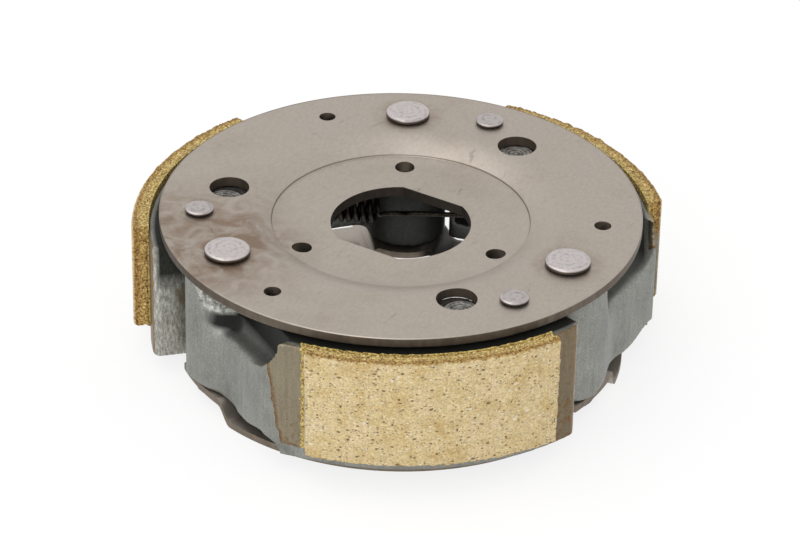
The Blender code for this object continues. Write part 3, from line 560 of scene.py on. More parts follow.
@cache
def cast_aluminium():
    """Die-cast aluminium silicon alloy, shot-blasted: cool satin grey with a fine sandy skin and faint
    upright drag lines. Its seat is turned and tinted khaki by resin, which dried brown along the edges of
    the turned strip. Painted shade darkens the pocket beside the pivot and the faces round the hub,
    a painted shadow rings each spot face, and painted light brightens the tail's end face outwards."""
    looks = bpy.context.scene.clutch_shoe
    made, add, shader, place = new_finish("die_cast_aluminium", 1.0, 0.5)
    x, y, z, plan, radius, angle = round_axis(add, place)
    wander = add("TexNoise", (place, per(4), 6, 0.6))
    grit = add("TexNoise", (place, 1 / looks.grit, 4, 0.7))
    cloud = add("TexNoise", (place, per(7), 6, 0.62))
    upright = add("Mapping", {"Vector": place, "Scale": (1, 1, 0.1)})
    lines = add("TexNoise", (upright, per(0.6), 4))

    # Skin of the casting
    tones = ((0.28, 0.72), (0.45, 0.97), (0.7, 1.12))
    skin = add("ValToRGB", (cloud,), [(share, shade(level, looks.casting)) for share, level in tones])
    mixed_grain = add("Math", (lines, 0.35, grit), "MULTIPLY_ADD")
    sand = add("ValToRGB", (mixed_grain,), [(0.5, 0.78), (0.84, 1.2)])
    sanded = add("Mix", (1.0, skin, sand), "MULTIPLY")
    # Small bright chips, mostly high up beside the pivot
    chip = add("TexNoise", (place, per(1.3), 5, 0.7))
    chips = add("MapRange", (chip, 0.66, 0.72))
    high = add("MapRange", (z, -6 * MM, 6 * MM, 0.1, 0.8))
    chipped = masked(add, chips, high)
    bare = add("Mix", (chipped, sanded, linear("#CFCFCB")))

    # The turned strip: on the seat's radius, with a wandering edge on three sides
    ragged = add("MapRange", (wander, 0, 1, -0.9 * MM, 0.9 * MM))
    along = masked(add, angle, SEAT_RADIUS)
    shifted = add("Math", (along, ragged), "ADD")
    # The strip's edge leans with the draft of the casting
    lean = add("Math", (z, 0.16, shifted), "MULTIPLY_ADD")
    inside = add("Math", (lean, SEAT_RADIUS * radians(STRIP_START)), "SUBTRACT")
    tail_end = add("Math", (SEAT_RADIUS * radians(STRIP_END), shifted), "SUBTRACT")
    at_tail = add("MapRange", (angle, radians(LINING_END - 2), radians(LINING_END + 1)))
    foot = add("MapRange", (at_tail, 0, 1, -LINING_TOP - 0.4 * MM, SHOE_LOW.z + 0.2 * MM))
    low = add("Math", (z, foot), "SUBTRACT")
    low_ragged = add("Math", (low, ragged), "ADD")
    out = add("Math", (radius, SEAT_RADIUS - 0.5 * MM), "SUBTRACT")
    depth = add("Math", (inside, low_ragged), "MINIMUM")
    edge_depth = add("Math", (depth, tail_end), "MINIMUM")
    depth = add("Math", (edge_depth, out), "MINIMUM")
    strip = add("MapRange", (depth, 0.0, 0.12 * MM))
    rim = add("MapRange", (edge_depth, 0.1 * MM, 0.9 * MM, 1.0, 0.0))
    drips = add("TexNoise", (place, per(1.1), 6, 0.7))
    rim_broken = add("MapRange", (drips, 0.32, 0.5, 0, 1.0))
    rim_here = masked(add, rim, rim_broken)
    # Towards its foot, and at the tail, the strip is speckled with more of the resin
    lower = add("MapRange", (z, 2 * MM, -11 * MM, 0.0, 0.5))
    more = add("Math", (at_tail, 0.4, lower), "MULTIPLY_ADD")
    speckle = add("MapRange", (drips, 0.5, 0.62))
    speckled = masked(add, speckle, more)
    resin_here = add("Math", (rim_here, speckled), "MAXIMUM", use_clamp=True)
    strip_grain = add("Math", (lines, 0.5, grit), "MULTIPLY_ADD")
    strip_tones = [(0.55, shade(0.78, looks.strip)), (0.9, shade(1.12, looks.strip))]
    turned_tone = add("ValToRGB", (strip_grain,), strip_tones)
    tail_tone = add("Mix", (at_tail, turned_tone, (0.72, 0.68, 0.62)), "MULTIPLY")
    resined = add("Mix", (resin_here, tail_tone, looks.resin))
    surface = add("Mix", (strip, bare, resined))
    # The tail's end face carries upright runs of dirt and a little resin, with painted light that brightens
    # it towards its outer edge
    tail = add("MapRange", (angle, radians(STRIP_END - 1), radians(STRIP_END), 0, 0.9))
    run_place = add("Mapping", {"Vector": place, "Scale": (1, 1, 0.3)})
    runs = add("TexNoise", (run_place, per(0.45), 4, 0.7))
    streaky = add("ValToRGB", (runs,), [(0.36, 0.6), (0.5, (1.02, 0.97, 0.91)), (0.64, 1.5)])
    # Painted light and shade: darker near the axis, brighter outwards
    shaded = add("MapRange", (radius, 42 * MM, 47 * MM, 0.8, 1.4))
    run_level = add("Mix", (1.0, streaky, shaded), "MULTIPLY")
    run_tone = add("Mix", (tail, surface, run_level), "MULTIPLY")
    spots = add("TexNoise", (run_place, per(3.2), 5))
    spotted = add("MapRange", (spots, 0.6, 0.66, 0, 0.7))
    spot_here = masked(add, spotted, tail)
    run_tone = add("Mix", (spot_here, run_tone, linear("#6F5A3E")))
    # Painted shade in the pocket, darker the deeper and the nearer to the plate
    behind = add("MapRange", (x, FACE - 0.1 * MM, FACE - 2.2 * MM), "SMOOTHSTEP")
    beside = add("MapRange", (y, 3.0 * MM, 3.8 * MM))
    # Its lower edge runs down from the boss to the seat
    brink = add("MapRange", (y, 4.5 * MM, 8.5 * MM, 2.6 * MM, 0.8 * MM))
    over = add("Math", (z, brink), "SUBTRACT")
    above = add("MapRange", (over, 0, 0.9 * MM))
    within = add("MapRange", (radius, SEAT_RADIUS - 0.5 * MM, SEAT_RADIUS - 1.4 * MM))
    upper = add("MapRange", (z, 1.2 * MM, 4.8 * MM, 0.35, 1.0))
    farther = add("MapRange", (y, 13 * MM, 26 * MM, 1.0, 0.95))
    darkening = masked(add, behind, beside, above, within, upper, farther)
    # Painted shade on the faces round the hub
    hub = add("MapRange", (radius, PIVOT.x + 0.4 * MM, PIVOT.x - 1.5 * MM, 0, 0.75))
    # The boss beside the pocket is rubbed bright and grainy
    pivot_away = add("VectorMath", (plan, (PIVOT.x, 0, 0)), "DISTANCE")
    on_boss = add("MapRange", (pivot_away, 8.2 * MM, 7.9 * MM))
    shoulder = add("MapRange", (z, 4.4 * MM, 5.4 * MM))
    rubbed = masked(add, on_boss, shoulder)
    kept = add("Math", (1.0, rubbed), "SUBTRACT")
    # The boss's own side, low in the pocket, gets the same painted shade as the pocket
    near_boss = add("MapRange", (pivot_away, 12.5 * MM, 8.4 * MM), "SMOOTHSTEP")
    turned_in = add("MapRange", (y, 3.8 * MM, 6.2 * MM, 0, 0.95))
    low_side = masked(add, near_boss, turned_in, above)
    darkening = add("Math", (darkening, low_side), "MAXIMUM")
    darkening = masked(add, darkening, kept)
    darkening = add("Math", (darkening, hub), "MAXIMUM")
    # The painted shade is a near-black colour
    darkened = add("Mix", (darkening, run_tone, linear("#131310")))
    pebble = add("ValToRGB", (drips,), [(0.4, 0.45), (0.6, 1.9)])
    pebbled = add("Mix", (rubbed, darkened, pebble), "MULTIPLY")
    # The boss under each window is spot-faced: rings round a bright middle, with a painted shadow round them
    # under the window's edge
    window_away = add("VectorMath", (plan, polar(*SPOT_FACE).to_3d()), "DISTANCE")
    outside = add("MapRange", (window_away, 3.3 * MM, 3.6 * MM, 0, 0.85))
    on_window = add("MapRange", (window_away, 6.5 * MM, 6.3 * MM))
    top = add("MapRange", (z, SHOE_HIGH.z - 0.7 * MM, SHOE_HIGH.z - 0.5 * MM))
    spot = masked(add, on_window, top)
    turned_rings = add("Math", (window_away, math.tau / (0.8 * MM)), "MULTIPLY")
    wave = add("Math", (turned_rings,), "SINE")
    wavy = add("Math", (wave, 0.07, drips), "MULTIPLY_ADD")
    ringed = add("ValToRGB", (wavy,), [(0.34, "#3C3A36"), (0.7, "#A9A6A1")])
    ring_dark = add("Mix", (outside, ringed, linear("#1E1D1A")))
    final = add("Mix", (spot, pebbled, ring_dark))
    # Where the shade is painted, the surface is neither metallic nor shiny, so it shows no reflection
    unshaded = add("Math", (1.0, darkening), "SUBTRACT")
    sheen = add("MapRange", (darkening, 0, 1, 0.5, 0.08))
    rough = add("MapRange", (strip, 0, 1, 0.54, 0.42))
    relief = add("Mix", (rubbed, mixed_grain, drips), data_type="FLOAT")
    feed(shader, {"Base Color": final, "Metallic": unshaded, "Specular IOR Level": sheen, "Roughness": rough})
    raise_skin(add, shader, relief, 0.4, 0.06 * MM)
    return made


@cache
def friction_lining():
    """Moulded friction lining of fibre, brass and phenolic resin: the ground face is pale sand with dark and
    white mineral specks, and the cut edges are golden ochre, coarse and open."""
    looks = bpy.context.scene.clutch_lining
    made, add, shader, place = new_finish("moulded_friction_lining", 0.0, 0.88)
    _, _, z, _, radius, angle = round_axis(add, place)
    grain = add("TexNoise", (place, per(0.42), 3, 0.7))
    fibre_place = add("Mapping", {"Vector": place, "Scale": (1, 1, 2.4)})
    fibre = add("TexNoise", (fibre_place, per(0.9), 6, 0.75))
    cloud = add("TexNoise", (place, per(5), 6, 0.7))
    pale = add("ValToRGB", (cloud,), [(0.32, "#BAA06C"), (0.5, looks.face), (0.68, "#CDBB98")])
    mottle = add("ValToRGB", (fibre,), [(0.3, (0.8, 0.76, 0.66)), (0.68, (1.14, 1.14, 1.16))])
    sand = add("ValToRGB", (grain,), [(0.32, 0.74), (0.66, 1.24)])
    mottled = add("Mix", (1.0, pale, mottle), "MULTIPLY")
    sandy = add("Mix", (1.0, mottled, sand), "MULTIPLY")
    # Dark and white specks in three sizes, each in a cell of its own, with some cells left empty
    squashed = add("Mapping", {"Vector": place, "Scale": (1, 1, 1.5)})
    bent = add("VectorMath", (fibre.outputs["Color"], shade(0.9 * MM), squashed), "MULTIPLY_ADD")
    covered = sandy
    minerals = [(0.0, "#4A3E2F"), (0.45, "#6E5B40"), (0.7, "#8A7450"), (0.78, "#D9CFBC")]
    sizes = ((looks.speck * 1.5, 0.36, 0.4), (looks.speck * 0.9, 0.42, 0.4), (looks.speck * 0.5, 0.42, 0.5))
    for cell, largest, fewest in sizes:
        cells = add("TexVoronoi", {"Vector": bent, "Scale": 1 / cell})
        chance = add("SeparateColor", (cells.outputs["Color"],))
        size = add("MapRange", (chance, fewest, 1.0, 0.04, largest))
        nearness = add("Math", (size, cells), "SUBTRACT")
        dark = add("MapRange", (nearness, 0, 0.09, 0, 0.9))
        tone = add("ValToRGB", (chance.outputs[1],), minerals)
        covered = add("Mix", (dark, covered, tone))
    fibres = [(0.32, "#4A3A1E"), (0.42, "#8A7040"), (0.5, looks.edge), (0.59, "#CDB878"), (0.68, "#E8DDB4")]
    edge = add("ValToRGB", (grain,), fibres)
    edge_cloud = add("ValToRGB", (fibre,), [(0.35, (0.8, 0.78, 0.7)), (0.6, 1.15)])
    edge_tone = add("Mix", (1.0, edge, edge_cloud), "MULTIPLY")
    # The top is browner in patches towards the ground face, and paler beside the shoe
    outer = add("MapRange", (radius, 51.6 * MM, 52.6 * MM))
    patches = add("MapRange", (fibre, 0.36, 0.5))
    brown = masked(add, outer, patches)
    edge_tone = add("Mix", (brown, edge_tone, (0.6, 0.47, 0.33)), "MULTIPLY")
    # Upright ends are painted darker than the top, as painted shade from how the light falls
    upright = add("MapRange", (facing_up(add, "Normal"), 0.6, 0.2))
    edge_dark = add("Mix", (upright, edge_tone, (0.9, 0.82, 0.7)), "MULTIPLY")
    # The lower part of the leading end turns grey
    lead = add("MapRange", (angle, radians(LINING_START + 0.9), radians(LINING_START + 0.3)))
    fall = add("MapRange", (z, 5 * MM, 2 * MM, 0, 0.85))
    darkening = masked(add, lead, fall)
    face_edge = add("MapRange", (fibre, 0, 1, -0.5 * MM, 0.5 * MM))
    shifted = add("Math", (radius, face_edge), "ADD")
    face = add("MapRange", (shifted, LINING_RADIUS - 0.5 * MM, LINING_RADIUS - 0.15 * MM))
    both = add("Mix", (face, edge_dark, covered))
    darkened = add("Mix", (darkening, both, linear("#8B8A80")))
    pits = add("Math", (dark, -0.6, grain), "MULTIPLY_ADD")
    feed(shader, {"Base Color": darkened})
    raise_skin(add, shader, pits, 0.7, 0.12 * MM)
    return made


@cache
def cured_adhesive():
    """Phenolic film adhesive, squeezed out and cured: yellow to amber crumbs, rough and slightly glossy."""
    looks = bpy.context.scene.clutch_lining
    made, add, shader, place = new_finish("cured_phenolic_adhesive", 0.0, 0.6)
    blotch = add("TexNoise", (place, per(0.5), 4, 0.7))
    ambers = [(0.34, "#4E3A1C"), (0.44, "#8C7038"), (0.55, looks.glue), (0.66, "#DCCB8A")]
    colour = add("ValToRGB", (blotch,), ambers)
    feed(shader, {"Base Color": colour})
    raise_skin(add, shader, blotch, 0.7, 0.15 * MM)
    return made


@cache
def spring_steel():
    """Hard-drawn spring wire and stamped clips, oiled and dusty: dark grey with fine drawing lines."""
    made, add, shader, place = new_finish("oiled_spring_steel", 1.0, 0.45)
    drawn = add("TexNoise", (place, per(0.6), 4))
    colour = add("ValToRGB", (drawn,), [(0.3, "#24211D"), (0.7, "#4B463F")])
    feed(shader, {"Base Color": colour})
    raise_skin(add, shader, drawn, 0.2, 0.02 * MM)
    return made


@cache
def nitrile_rubber():
    """Moulded nitrile rubber: near black, dull, with a dusty bloom."""
    made, add, shader, place = new_finish("moulded_nitrile_rubber", 0.0, 0.75)
    bloom = add("TexNoise", (place, per(2), 5))
    colour = add("ValToRGB", (bloom,), [(0.4, "#1A1A1A"), (0.75, "#37342F")])
    feed(shader, {"Base Color": colour})
    raise_skin(add, shader, bloom, 0.2, 0.05 * MM)
    return made


# Operators


def pressing(rough, node, smooth):
    """The finished piece of phosphated steel for one of the two plates."""
    made = new_object(node + "_steel", rough.data, phosphated_steel(), smooth)
    bpy.data.objects.remove(rough, do_unlink=True)
    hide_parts(node)
    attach(made, "carrier")
    return made


class CLUTCH_OT_drive_plate(bpy.types.Operator):
    """Make the dished drive plate, with its bore and punched holes"""

    bl_idname = "clutch.drive_plate"
    bl_label = "Drive Plate"

    def execute(self, context):
        looks = context.scene.clutch_steel
        chamfer = looks.rim_chamfer
        under = PLATE_TOP - PLATE_THICKNESS
        land = PLATE_TOP - LAND_DEPTH
        middle = BORE_RADIUS * 0.7  # well inside the bore, which is cut afterwards
        top = [
            (middle, land),
            (STEP_RADIUS - 4.0 * MM, land),
            (STEP_RADIUS - 2.0 * MM, land + 0.2 * MM),
            (STEP_RADIUS - 0.15 * MM, PLATE_TOP - STEP_DEPTH - 0.45 * MM),
            (STEP_RADIUS, PLATE_TOP - STEP_DEPTH),
        ]
        # The dish rises from the step and runs out softly into the flat
        reach = DISH_RADIUS + 1.9 * MM - STEP_RADIUS
        shares = [step / 24 for step in range(1, 25)]
        dish = [(STEP_RADIUS + reach * t, PLATE_TOP - STEP_DEPTH * (1 - t) ** 1.7) for t in shares]
        rim = [(PLATE_RADIUS - chamfer, PLATE_TOP), (PLATE_RADIUS, PLATE_TOP - chamfer)]
        bottom = [
            (PLATE_RADIUS, under + chamfer),
            (PLATE_RADIUS - chamfer, under),
            (DISH_RADIUS + 0.2 * MM, under),
            (STEP_RADIUS + 0.2 * MM, under - STEP_DEPTH),
            (LAND_RADIUS, land - PLATE_THICKNESS),
            (middle, land - PLATE_THICKNESS),
        ]
        profile = top[:3] + eased(top[2:] + dish[:1], 0.1 * MM, 2)[3:-3] + dish
        profile += eased(rim + bottom[:2], 0.1 * MM, 2) + bottom[2:]
        steps = context.scene.clutch_stage.rim_steps
        plate = new_object("drive_plate_pressing", turned("drive_plate_pressing", profile, steps))
        corner = math.degrees(math.asin(BORE_FLAT / BORE_RADIUS))
        arc = [corner * step / 20 for step in range(-20, 21)]
        outlines = [[polar(BORE_RADIUS, side + degrees) for side in (0, 180) for degrees in arc]]
        for number in SHOES:
            for radius, degrees, hole in HOLES:
                centre = polar(radius, degrees + math.degrees(PITCH) * number)
                outlines.append(circle(centre, hole, 48))
        cut_with(plate, cutters("plate_holes", outlines, land - 4 * MM, PLATE_TOP + 1 * MM))
        ease_edges(plate, looks.hole_break)
        # Flat faces stay flat beside the eased edges
        modified(pressing(plate, "drive_plate", 30), "WEIGHTED_NORMAL", keep_sharp=True)
        return {"FINISHED"}


class CLUTCH_OT_rivets(bpy.types.Operator):
    """Make the three pivot pins and the three damper stubs with their riveted heads"""

    bl_idname = "clutch.rivets"
    bl_label = "Pins and Stubs"

    def execute(self, context):
        # Turned profiles in plain millimetres: a distance from the axis, then a height
        foot, top, under = PIN_LOW.z / MM, PIN_HIGH.z / MM, PLATE_TOP / MM - 2.4
        head = top - 0.95
        groove = foot + 1.55  # for the clip
        pad = groove + 3.05
        pin = [
            (0, foot), (3.5, foot), (4, foot + 0.5), (4, groove), (3.1, groove), (3.1, groove + 1.2),
            (4, groove + 1.2), (4, pad), (5, pad), (5, under), (3.6, under), (3.6, head), (4.5, head),
            (4.5, head + 0.5), (4.3, head + 0.74), (3.7, head + 0.9), (2.2, top), (0.5, top), (0, top - 0.1),
        ]
        foot, top = STUB_LOW.z / MM, STUB_HIGH.z / MM
        head = top - 0.6
        stub = [
            (0, foot), (1.9, foot), (2.3, foot + 0.4), (2.3, under), (1.9, under), (1.9, head), (2.85, head),
            (2.85, head + 0.38), (2.35, top), (0.4, top - 0.04), (0, top - 0.12),
        ]
        for profile, node, at in ((pin, "pivot_pin", PIVOT), (stub, "damper_stub", STUB)):
            profile = [(radius * MM, height * MM) for radius, height in profile]
            mesh = turned(node + "_riveted", eased(profile, 0.12 * MM), 72)
            at = Vector((at.x, at.y, 0))
            in_thirds(mesh, node + "_riveted", riveted_steel(), "carrier", node, at)
        return {"FINISHED"}


class CLUTCH_OT_shoes(bpy.types.Operator):
    """Make the three die-cast shoes"""

    bl_idname = "clutch.shoes"
    bl_label = "Cast Shoes"

    def execute(self, context):
        looks = context.scene.clutch_shoe
        cast = worked_copy("shoe_1", "shoe_casting", looks.skin, 4, 1)
        places = true_cylinder(coordinates(cast.data), PIVOT, BOSS_RADIUS, 0.1 * MM)
        places = self.blend_boss(relaxed(cast.data, places, self.pocket(places), 70))
        # The wide blend is smoothed outwards only
        x, y, z = (places / MM).T
        foot, top = SHOE_LOW.z / MM, SHOE_HIGH.z / MM
        blended = (x > FACE / MM - 1.2) * rise(y, -1, 1) * rise(y, 15, 13)
        blended = blended * rise(z, top - 0.6, top - 1.6) * rise(z, foot + 0.6, foot + 1.6)
        places[:, 0] = relaxed(cast.data, places, blended, 60)[:, 0]
        # The inner corner of the tail's end is drawn out
        away = np.hypot(places[:, 0] / MM + 10.4, places[:, 1] / MM - 37.6)
        corner = np.exp(-((away / 0.8) ** 2))
        places[:, :2] += 0.8 * MM * corner[:, None] * np.array((-0.81, -0.59))
        set_coordinates(cast.data, places)
        modified(cast, "DECIMATE", ratio=0.45)
        places = true_cylinder(coordinates(cast.data), (0, 0), SEAT_RADIUS, 0.06 * MM)
        set_coordinates(cast.data, places)
        in_thirds(cast.data, "shoe_casting", cast_aluminium(), "shoe_body_{}", "shoe")
        bpy.data.objects.remove(cast, do_unlink=True)
        return {"FINISHED"}

    def blend_boss(self, places):
        """Runs the round boss into the flat face with the wide blend of the casting."""
        face = FACE - PIVOT.x
        out, along = places[:, 0] - PIVOT.x, places[:, 1]
        here = (along > 0) & (along < BLEND_END) & (out > face - 1.5 * MM)
        before = np.maximum(np.sqrt(np.maximum(BOSS_RADIUS**2 - along[here] ** 2, 0)), face)
        fall = 1 - along[here] / BLEND_END
        after = face + (BOSS_RADIUS - face) * fall * fall * (3 - 2 * fall)
        share = np.clip(1 - (before - out[here]) / (1.5 * MM), 0, 1)
        places[here, 0] += np.maximum(after - before, 0) * share
        return places

    def pocket(self, places):
        """How much each point belongs to the pocket beside the boss, which is cast as one soft scoop."""
        x, y, z = (places / MM).T
        share = rise(x, 36, 37.5) * rise(y, 3, 5) * rise(y, 29.5, 27) * rise(z, -2, 0) * rise(z, 10, 8)
        return share * rise(np.hypot(x, y), 48.8, 47.6)


class CLUTCH_OT_linings(bpy.types.Operator):
    """Make the three moulded linings and the adhesive that shows round them"""

    bl_idname = "clutch.linings"
    bl_label = "Friction Linings"

    def execute(self, context):
        looks = context.scene.clutch_lining
        block = worked_copy("lining_1", "lining_moulding", 0.26 * MM, 2, 0.8)
        places = true_cylinder(coordinates(block.data), (0, 0), LINING_RADIUS, 0.06 * MM)
        radius = np.hypot(places[:, 0], places[:, 1])
        angle = np.degrees(np.arctan2(places[:, 1], places[:, 0]))
        middle = (LINING_START + LINING_END) / 2
        half = (LINING_END - LINING_START) / 2
        # How near each point lies to the top, the foot or an end of the lining
        to_end = (half - np.abs(angle - middle)) * radians(1) * LINING_RADIUS
        to_top = LINING_TOP - np.abs(places[:, 2])
        rim = np.exp(-((np.minimum(to_end, to_top) / (0.7 * MM)) ** 2))
        rim *= radius < LINING_RADIUS - 0.05 * MM
        points = [Vector(place) for place in places]
        rough = np.array([noise.noise(p * per(1.1)) + 0.8 * noise.noise(p * per(0.5)) for p in points])
        push = (rough * looks.ragged * rim)[:, None]
        ends = np.stack([-places[:, 1] / radius, places[:, 0] / radius, radius * 0], 1)
        ends *= np.sign(angle - middle)[:, None]
        tops = np.zeros_like(places)
        tops[:, 2] = np.sign(places[:, 2])
        direction = np.where((to_end < to_top)[:, None], ends, tops)
        set_coordinates(block.data, places + direction * push)
        body, slot = "shoe_body_{}", "friction_lining"
        in_thirds(block.data, "lining_moulding", friction_lining(), body, "lining")
        in_thirds(self.adhesive(), "lining_adhesive", cured_adhesive(), body)
        bpy.data.objects.remove(block, do_unlink=True)
        return {"FINISHED"}

    def adhesive(self):
        """A thin film between lining and seat, squeezed out unevenly past the lining's ends and top."""
        columns, rows = 220, 70
        bm = bmesh.new()
        grid = {}
        trailing = math.degrees(-0.15 * MM / SEAT_RADIUS)
        for layer, radius in enumerate((SEAT_RADIUS - 0.05 * MM, LINING_INNER + 0.28 * MM)):
            for column, row in product(range(columns + 1), range(rows + 1)):
                u, v = column / columns, row / rows
                spill = 0.6 + 0.7 * noise.noise(Vector((u * 45, v * 22, 3.1)))
                crumb = noise.noise(Vector((u * 110, v * 50, 7.7)))
                leading = math.degrees((1.15 + 0.6 * spill) * MM / SEAT_RADIUS)
                degrees = LINING_START - leading + (LINING_END - LINING_START + leading + trailing) * u
                height = (LINING_TOP + 0.3 * MM * spill) * (2 * v - 1)
                edge = min(u, 1 - u) * columns < 1 or min(v, 1 - v) * rows < 1
                out = radius - (0.25 * MM if layer and edge else 0) + (0.2 * MM * crumb if layer else 0)
                point = polar(out, degrees)
                grid[layer, column, row] = bm.verts.new((point.x, point.y, height))
        for layer, column, row in product((0, 1), range(columns), range(rows)):
            corners = [(column, row), (column + 1, row), (column + 1, row + 1), (column, row + 1)]
            bm.faces.new([grid[layer, c, r] for c, r in corners])
        border = [(c, 0) for c in range(columns)] + [(columns, r) for r in range(rows)]
        border += [(c, rows) for c in range(columns, 0, -1)] + [(0, r) for r in range(rows, 0, -1)]
        for index, here in enumerate(border):
            there = border[(index + 1) % len(border)]
            bm.faces.new([grid[0, *here], grid[0, *there], grid[1, *there], grid[1, *here]])
        return mesh_from("lining_adhesive", bm)


class CLUTCH_OT_retaining_plate(bpy.types.Operator):
    """Make the stepped retaining plate under the shoes, with its soft bends"""

    bl_idname = "clutch.retaining_plate"
    bl_label = "Retaining Plate"

    def execute(self, context):
        low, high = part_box("retaining_plate")
        thickness = 1.4 * MM
        nose = 10.0 * MM  # round end of each pad, about the pivot
        inner = PIVOT.x - 8.2 * MM
        notch_depth = 3.8 * MM
        step = high.z - low.z - thickness
        bm = bmesh.new()
        sections = []
        count = 540  # sections round the ring
        for index in range(count):
            degrees = 360 * index / count
            off = (degrees + 60) % 120 - 60  # from the nearest pivot
            top = high.z - step * self.between(abs(off), 10.7, 15.2)
            notch = self.between(off, -27.6, -26.2) * self.between(off, -8.2, -9.6)
            across = PIVOT.x * math.sin(radians(off))
            bore = inner
            if abs(across) < nose:
                bore = min(inner, PIVOT.x * math.cos(radians(off)) - math.sqrt(nose**2 - across**2))
            near, far = polar(bore, degrees), polar(high.x - notch_depth * notch, degrees)
            corners = [(near, top), (far, top), (far, top - thickness), (near, top - thickness)]
            sections.append([bm.verts.new((point.x, point.y, height)) for point, height in corners])
        for index, here in enumerate(sections):
            there = sections[(index + 1) % count]
            for side in range(4):
                bm.faces.new((here[side], here[side - 3], there[side - 3], there[side]))
        ring = new_object("retaining_plate_pressing", mesh_from("retaining_plate_pressing", bm))
        holes = [circle(polar(PIVOT.x, math.degrees(PITCH) * number), PIN_HOLE, 40) for number in SHOES]
        cut_with(ring, cutters("pin_holes", holes, low.z - 1 * MM, high.z + 1 * MM))
        ease_edges(ring, 0.2 * MM)
        pressing(ring, "retaining_plate", 40)
        return {"FINISHED"}

    def between(self, value, start, end):
        """0 before the start, 1 past the end, and a soft rise between them."""
        share = rise(value, start, end)
        return share * share * (3 - 2 * share)


class CLUTCH_OT_springs(bpy.types.Operator):
    """Make the return springs, which stretch between a shoe's tail and the next shoe"""

    bl_idname = "clutch.springs"
    bl_label = "Return Springs"

    def execute(self, context):
        for number in SHOES:
            node = frame["nodes"][f"return_spring_{number}"]
            bm = bmesh.new()
            bm.from_mesh(node.data)
            bmesh.ops.remove_doubles(bm, verts=bm.verts, dist=1e-7)
            most = {"angle_face_threshold": radians(40), "angle_shape_threshold": radians(40)}
            bmesh.ops.join_triangles(bm, faces=bm.faces, **most)
            spring = new_object(f"return_spring_{number}_whole", mesh_from("return_spring", bm))
            modified(spring, "SUBSURF", levels=2, render_levels=2)
            tail, head = self.ends(number)
            wire = self.half(spring, f"return_spring_wire_{number}", tail.lerp(head, 0.5), tail - head)
            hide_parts(node.name)
            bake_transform(wire)
            coil = self.half(spring, f"return_spring_coil_{number}", tail.lerp(head, 0.5), head - tail)
            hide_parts(node.name)
            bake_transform(coil)
            bpy.data.objects.remove(spring, do_unlink=True)
        return {"FINISHED"}

    def ends(self, number):
        """The two pegs that a spring hooks on: its own shoe's at the tail, and the next shoe's."""
        turn = Matrix.Rotation((number - 1) * PITCH, 3, "Z")
        tail = polar(PEG_RADIUS, TAIL_PEG).to_3d()
        head = polar(PEG_RADIUS, HEAD_PEG + math.degrees(PITCH)).to_3d()
        return turn @ tail, turn @ head

    def half(self, spring, name, middle, towards):
        """One half of the spring, cut across its straight wire."""
        bm = bmesh.new()
        bm.from_mesh(spring.data)
        whole = [*bm.verts, *bm.edges, *bm.faces]
        towards = towards.normalized()
        cut = bmesh.ops.bisect_plane(bm, geom=whole, plane_co=middle, plane_no=towards, clear_inner=True)
        rims = [item for item in cut["geom_cut"] if isinstance(item, bmesh.types.BMEdge)]
        bmesh.ops.holes_fill(bm, edges=rims)
        made = new_object(name, mesh_from(name, bm), spring_steel(), 180)
        return made


class CLUTCH_OT_small_parts(bpy.types.Operator):
    """Finish the clips on the pins and the rubber sleeves on the stubs"""

    bl_idname = "clutch.small_parts"
    bl_label = "Clips and Rubbers"

    def execute(self, context):
        for number in SHOES:
            clip = worked_copy(f"e_clip_{number}", f"e_clip_stamping_{number}", 0.1 * MM, 2, 0.5)
            clip.data.materials.clear()
            clip.data.materials.append(spring_steel())
            clip.data.shade_smooth()
            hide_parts(f"e_clip_{number}")
            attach(clip, "carrier")
            sleeve = frame["nodes"][f"damper_rubber_{number}"]
            sleeve.data.materials.clear()
            sleeve.data.materials.append(nitrile_rubber())
        return {"FINISHED"}


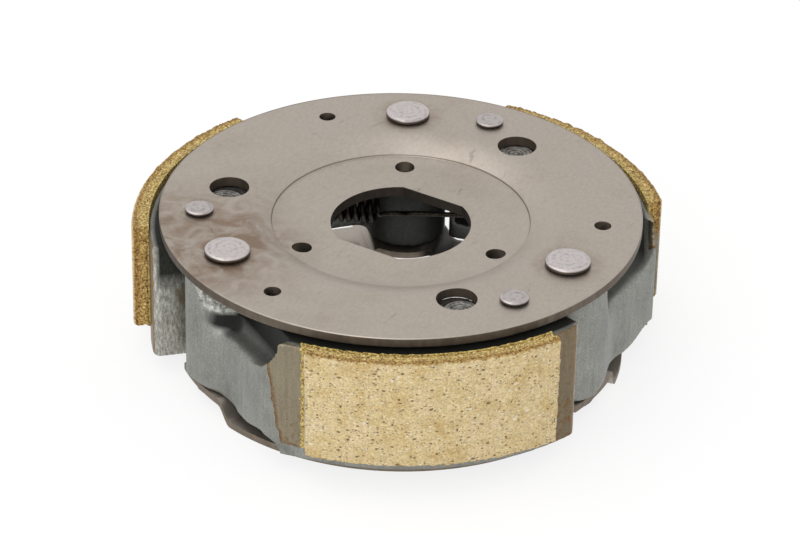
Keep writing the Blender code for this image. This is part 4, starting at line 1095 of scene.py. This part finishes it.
class CLUTCH_OT_stage(bpy.types.Operator):
    """Set up the floor, the light and the photograph's camera"""

    bl_idname = "clutch.stage"
    bl_label = "Stage"

    def execute(self, context):
        scene = context.scene
        looks = scene.clutch_stage
        scene.view_settings.view_transform = "Standard"
        self.floor(looks)
        self.sky(scene, looks)
        lamps = (
            ("front_lamp", (0.15, -0.8, 0.55), 0.7, looks.key),
            ("top_lamp", (-0.35, -0.1, 0.9), 0.7, looks.key * 0.6),
        )
        for name, place, size, power in lamps:
            light = bpy.data.lights.new(name, "AREA")
            light.size = size
            light.energy = power
            lamp = bpy.data.objects.new(name, light)
            scene.collection.objects.link(lamp)
            lamp.location = place
            lamp.rotation_euler = (-Vector(place)).to_track_quat("-Z", "Y").to_euler()
        self.camera(scene)
        return {"FINISHED"}

    def floor(self, looks):
        reach = 1.5
        bm = bmesh.new()
        corners = [(-reach, -reach), (reach, -reach), (reach, reach), (-reach, reach)]
        bm.faces.new([bm.verts.new((x, y, FLOOR - 0.05 * MM)) for x, y in corners])
        made = bpy.data.materials.new("matt_white_paper")
        made.use_nodes = True
        add = partial(add_node, made.node_tree)
        paper = made.node_tree.nodes["Principled BSDF"]
        feed(paper, {"Base Color": looks.backdrop, "Roughness": 1.0})
        # Seen directly or in a reflection, the paper is partly plain white, which leaves a light shadow
        part = add("Math", (self.seen(add), looks.paper), "MULTIPLY")
        glow = add("Emission", {"Color": looks.backdrop, "Strength": 1.0})
        mixed = add("MixShader", (part, paper, glow))
        feed(made.node_tree.nodes["Material Output"], {"Surface": mixed})
        new_object("floor", mesh_from("floor", bm), made)

    def sky(self, scene, looks):
        world = bpy.data.worlds.new("studio")
        scene.world = world
        world.use_nodes = True
        add = partial(add_node, world.node_tree)
        strength = add("Mix", (self.seen(add), looks.sky, 1.0), data_type="FLOAT")
        feed(world.node_tree.nodes["Background"], {"Color": looks.backdrop, "Strength": strength})

    def seen(self, add):
        """Whether a ray comes from the camera, a reflection or a clear surface."""
        rays = add("LightPath").outputs
        either = add("Math", (rays["Is Camera Ray"], rays["Is Glossy Ray"]), "MAXIMUM")
        return add("Math", (either, rays["Is Transmission Ray"]), "MAXIMUM")

    def camera(self, scene):
        turn, rise, roll = (radians(a) for a in (CAMERA_TURN, CAMERA_RISE, CAMERA_ROLL))
        back = Vector((math.cos(rise) * math.sin(turn), -math.cos(rise) * math.cos(turn), math.sin(rise)))
        level = Vector((math.cos(turn), math.sin(turn), 0))
        rising = back.cross(level)
        right = level * math.cos(roll) + rising * math.sin(roll)
        up = rising * math.cos(roll) - level * math.sin(roll)
        data = bpy.data.cameras.new("photo_camera")
        data.lens = CAMERA_LENS
        camera = bpy.data.objects.new("photo_camera", data)
        scene.collection.objects.link(camera)
        axes = Matrix((right, up, back)).transposed().to_4x4()
        across, along = CAMERA_SHIFT
        place = Vector((0, 0, PLATE_TOP)) + back * CAMERA_AWAY + right * across + up * along
        camera.matrix_world = Matrix.Translation(place) @ axes
        data.clip_start, data.clip_end = 0.05, 10
        scene.camera = camera


class CLUTCH_PT_looks(bpy.types.Panel):
    """Lists the clutch's operators in the order in which they run"""

    bl_idname = "CLUTCH_PT_looks"
    bl_label = "Clutch Looks"
    bl_space_type = "VIEW_3D"
    bl_region_type = "UI"
    bl_category = "Clutch"

    def draw(self, context):
        for operator in OPERATORS:
            self.layout.operator(operator.bl_idname)
        for group in GROUPS:
            settings = getattr(context.scene, group)
            for name in settings.__annotations__:
                self.layout.prop(settings, name)


OPERATORS = (
    CLUTCH_OT_stage,
    CLUTCH_OT_drive_plate,
    CLUTCH_OT_rivets,
    CLUTCH_OT_shoes,
    CLUTCH_OT_linings,
    CLUTCH_OT_retaining_plate,
    CLUTCH_OT_springs,
    CLUTCH_OT_small_parts,
)
GROUPS = {
    "clutch_steel": ClutchSteelLooks,
    "clutch_shoe": ClutchShoeLooks,
    "clutch_lining": ClutchLiningLooks,
    "clutch_stage": ClutchStageLooks,
}


def register():
    for group in GROUPS.values():
        bpy.utils.register_class(group)
    for kind in (*OPERATORS, CLUTCH_PT_looks):
        bpy.utils.register_class(kind)
    for name, group in GROUPS.items():
        setattr(bpy.types.Scene, name, PointerProperty(type=group))


def unregister():
    for name in GROUPS:
        delattr(bpy.types.Scene, name)
    for kind in (CLUTCH_PT_looks, *reversed(OPERATORS)):
        bpy.utils.unregister_class(kind)
    for group in reversed(GROUPS.values()):
        bpy.utils.unregister_class(group)


def main():
    register()
    for operator in OPERATORS:
        family, action = operator.bl_idname.split(".")
        getattr(getattr(bpy.ops, family), action)()


if __name__ == "__main__":
    main()
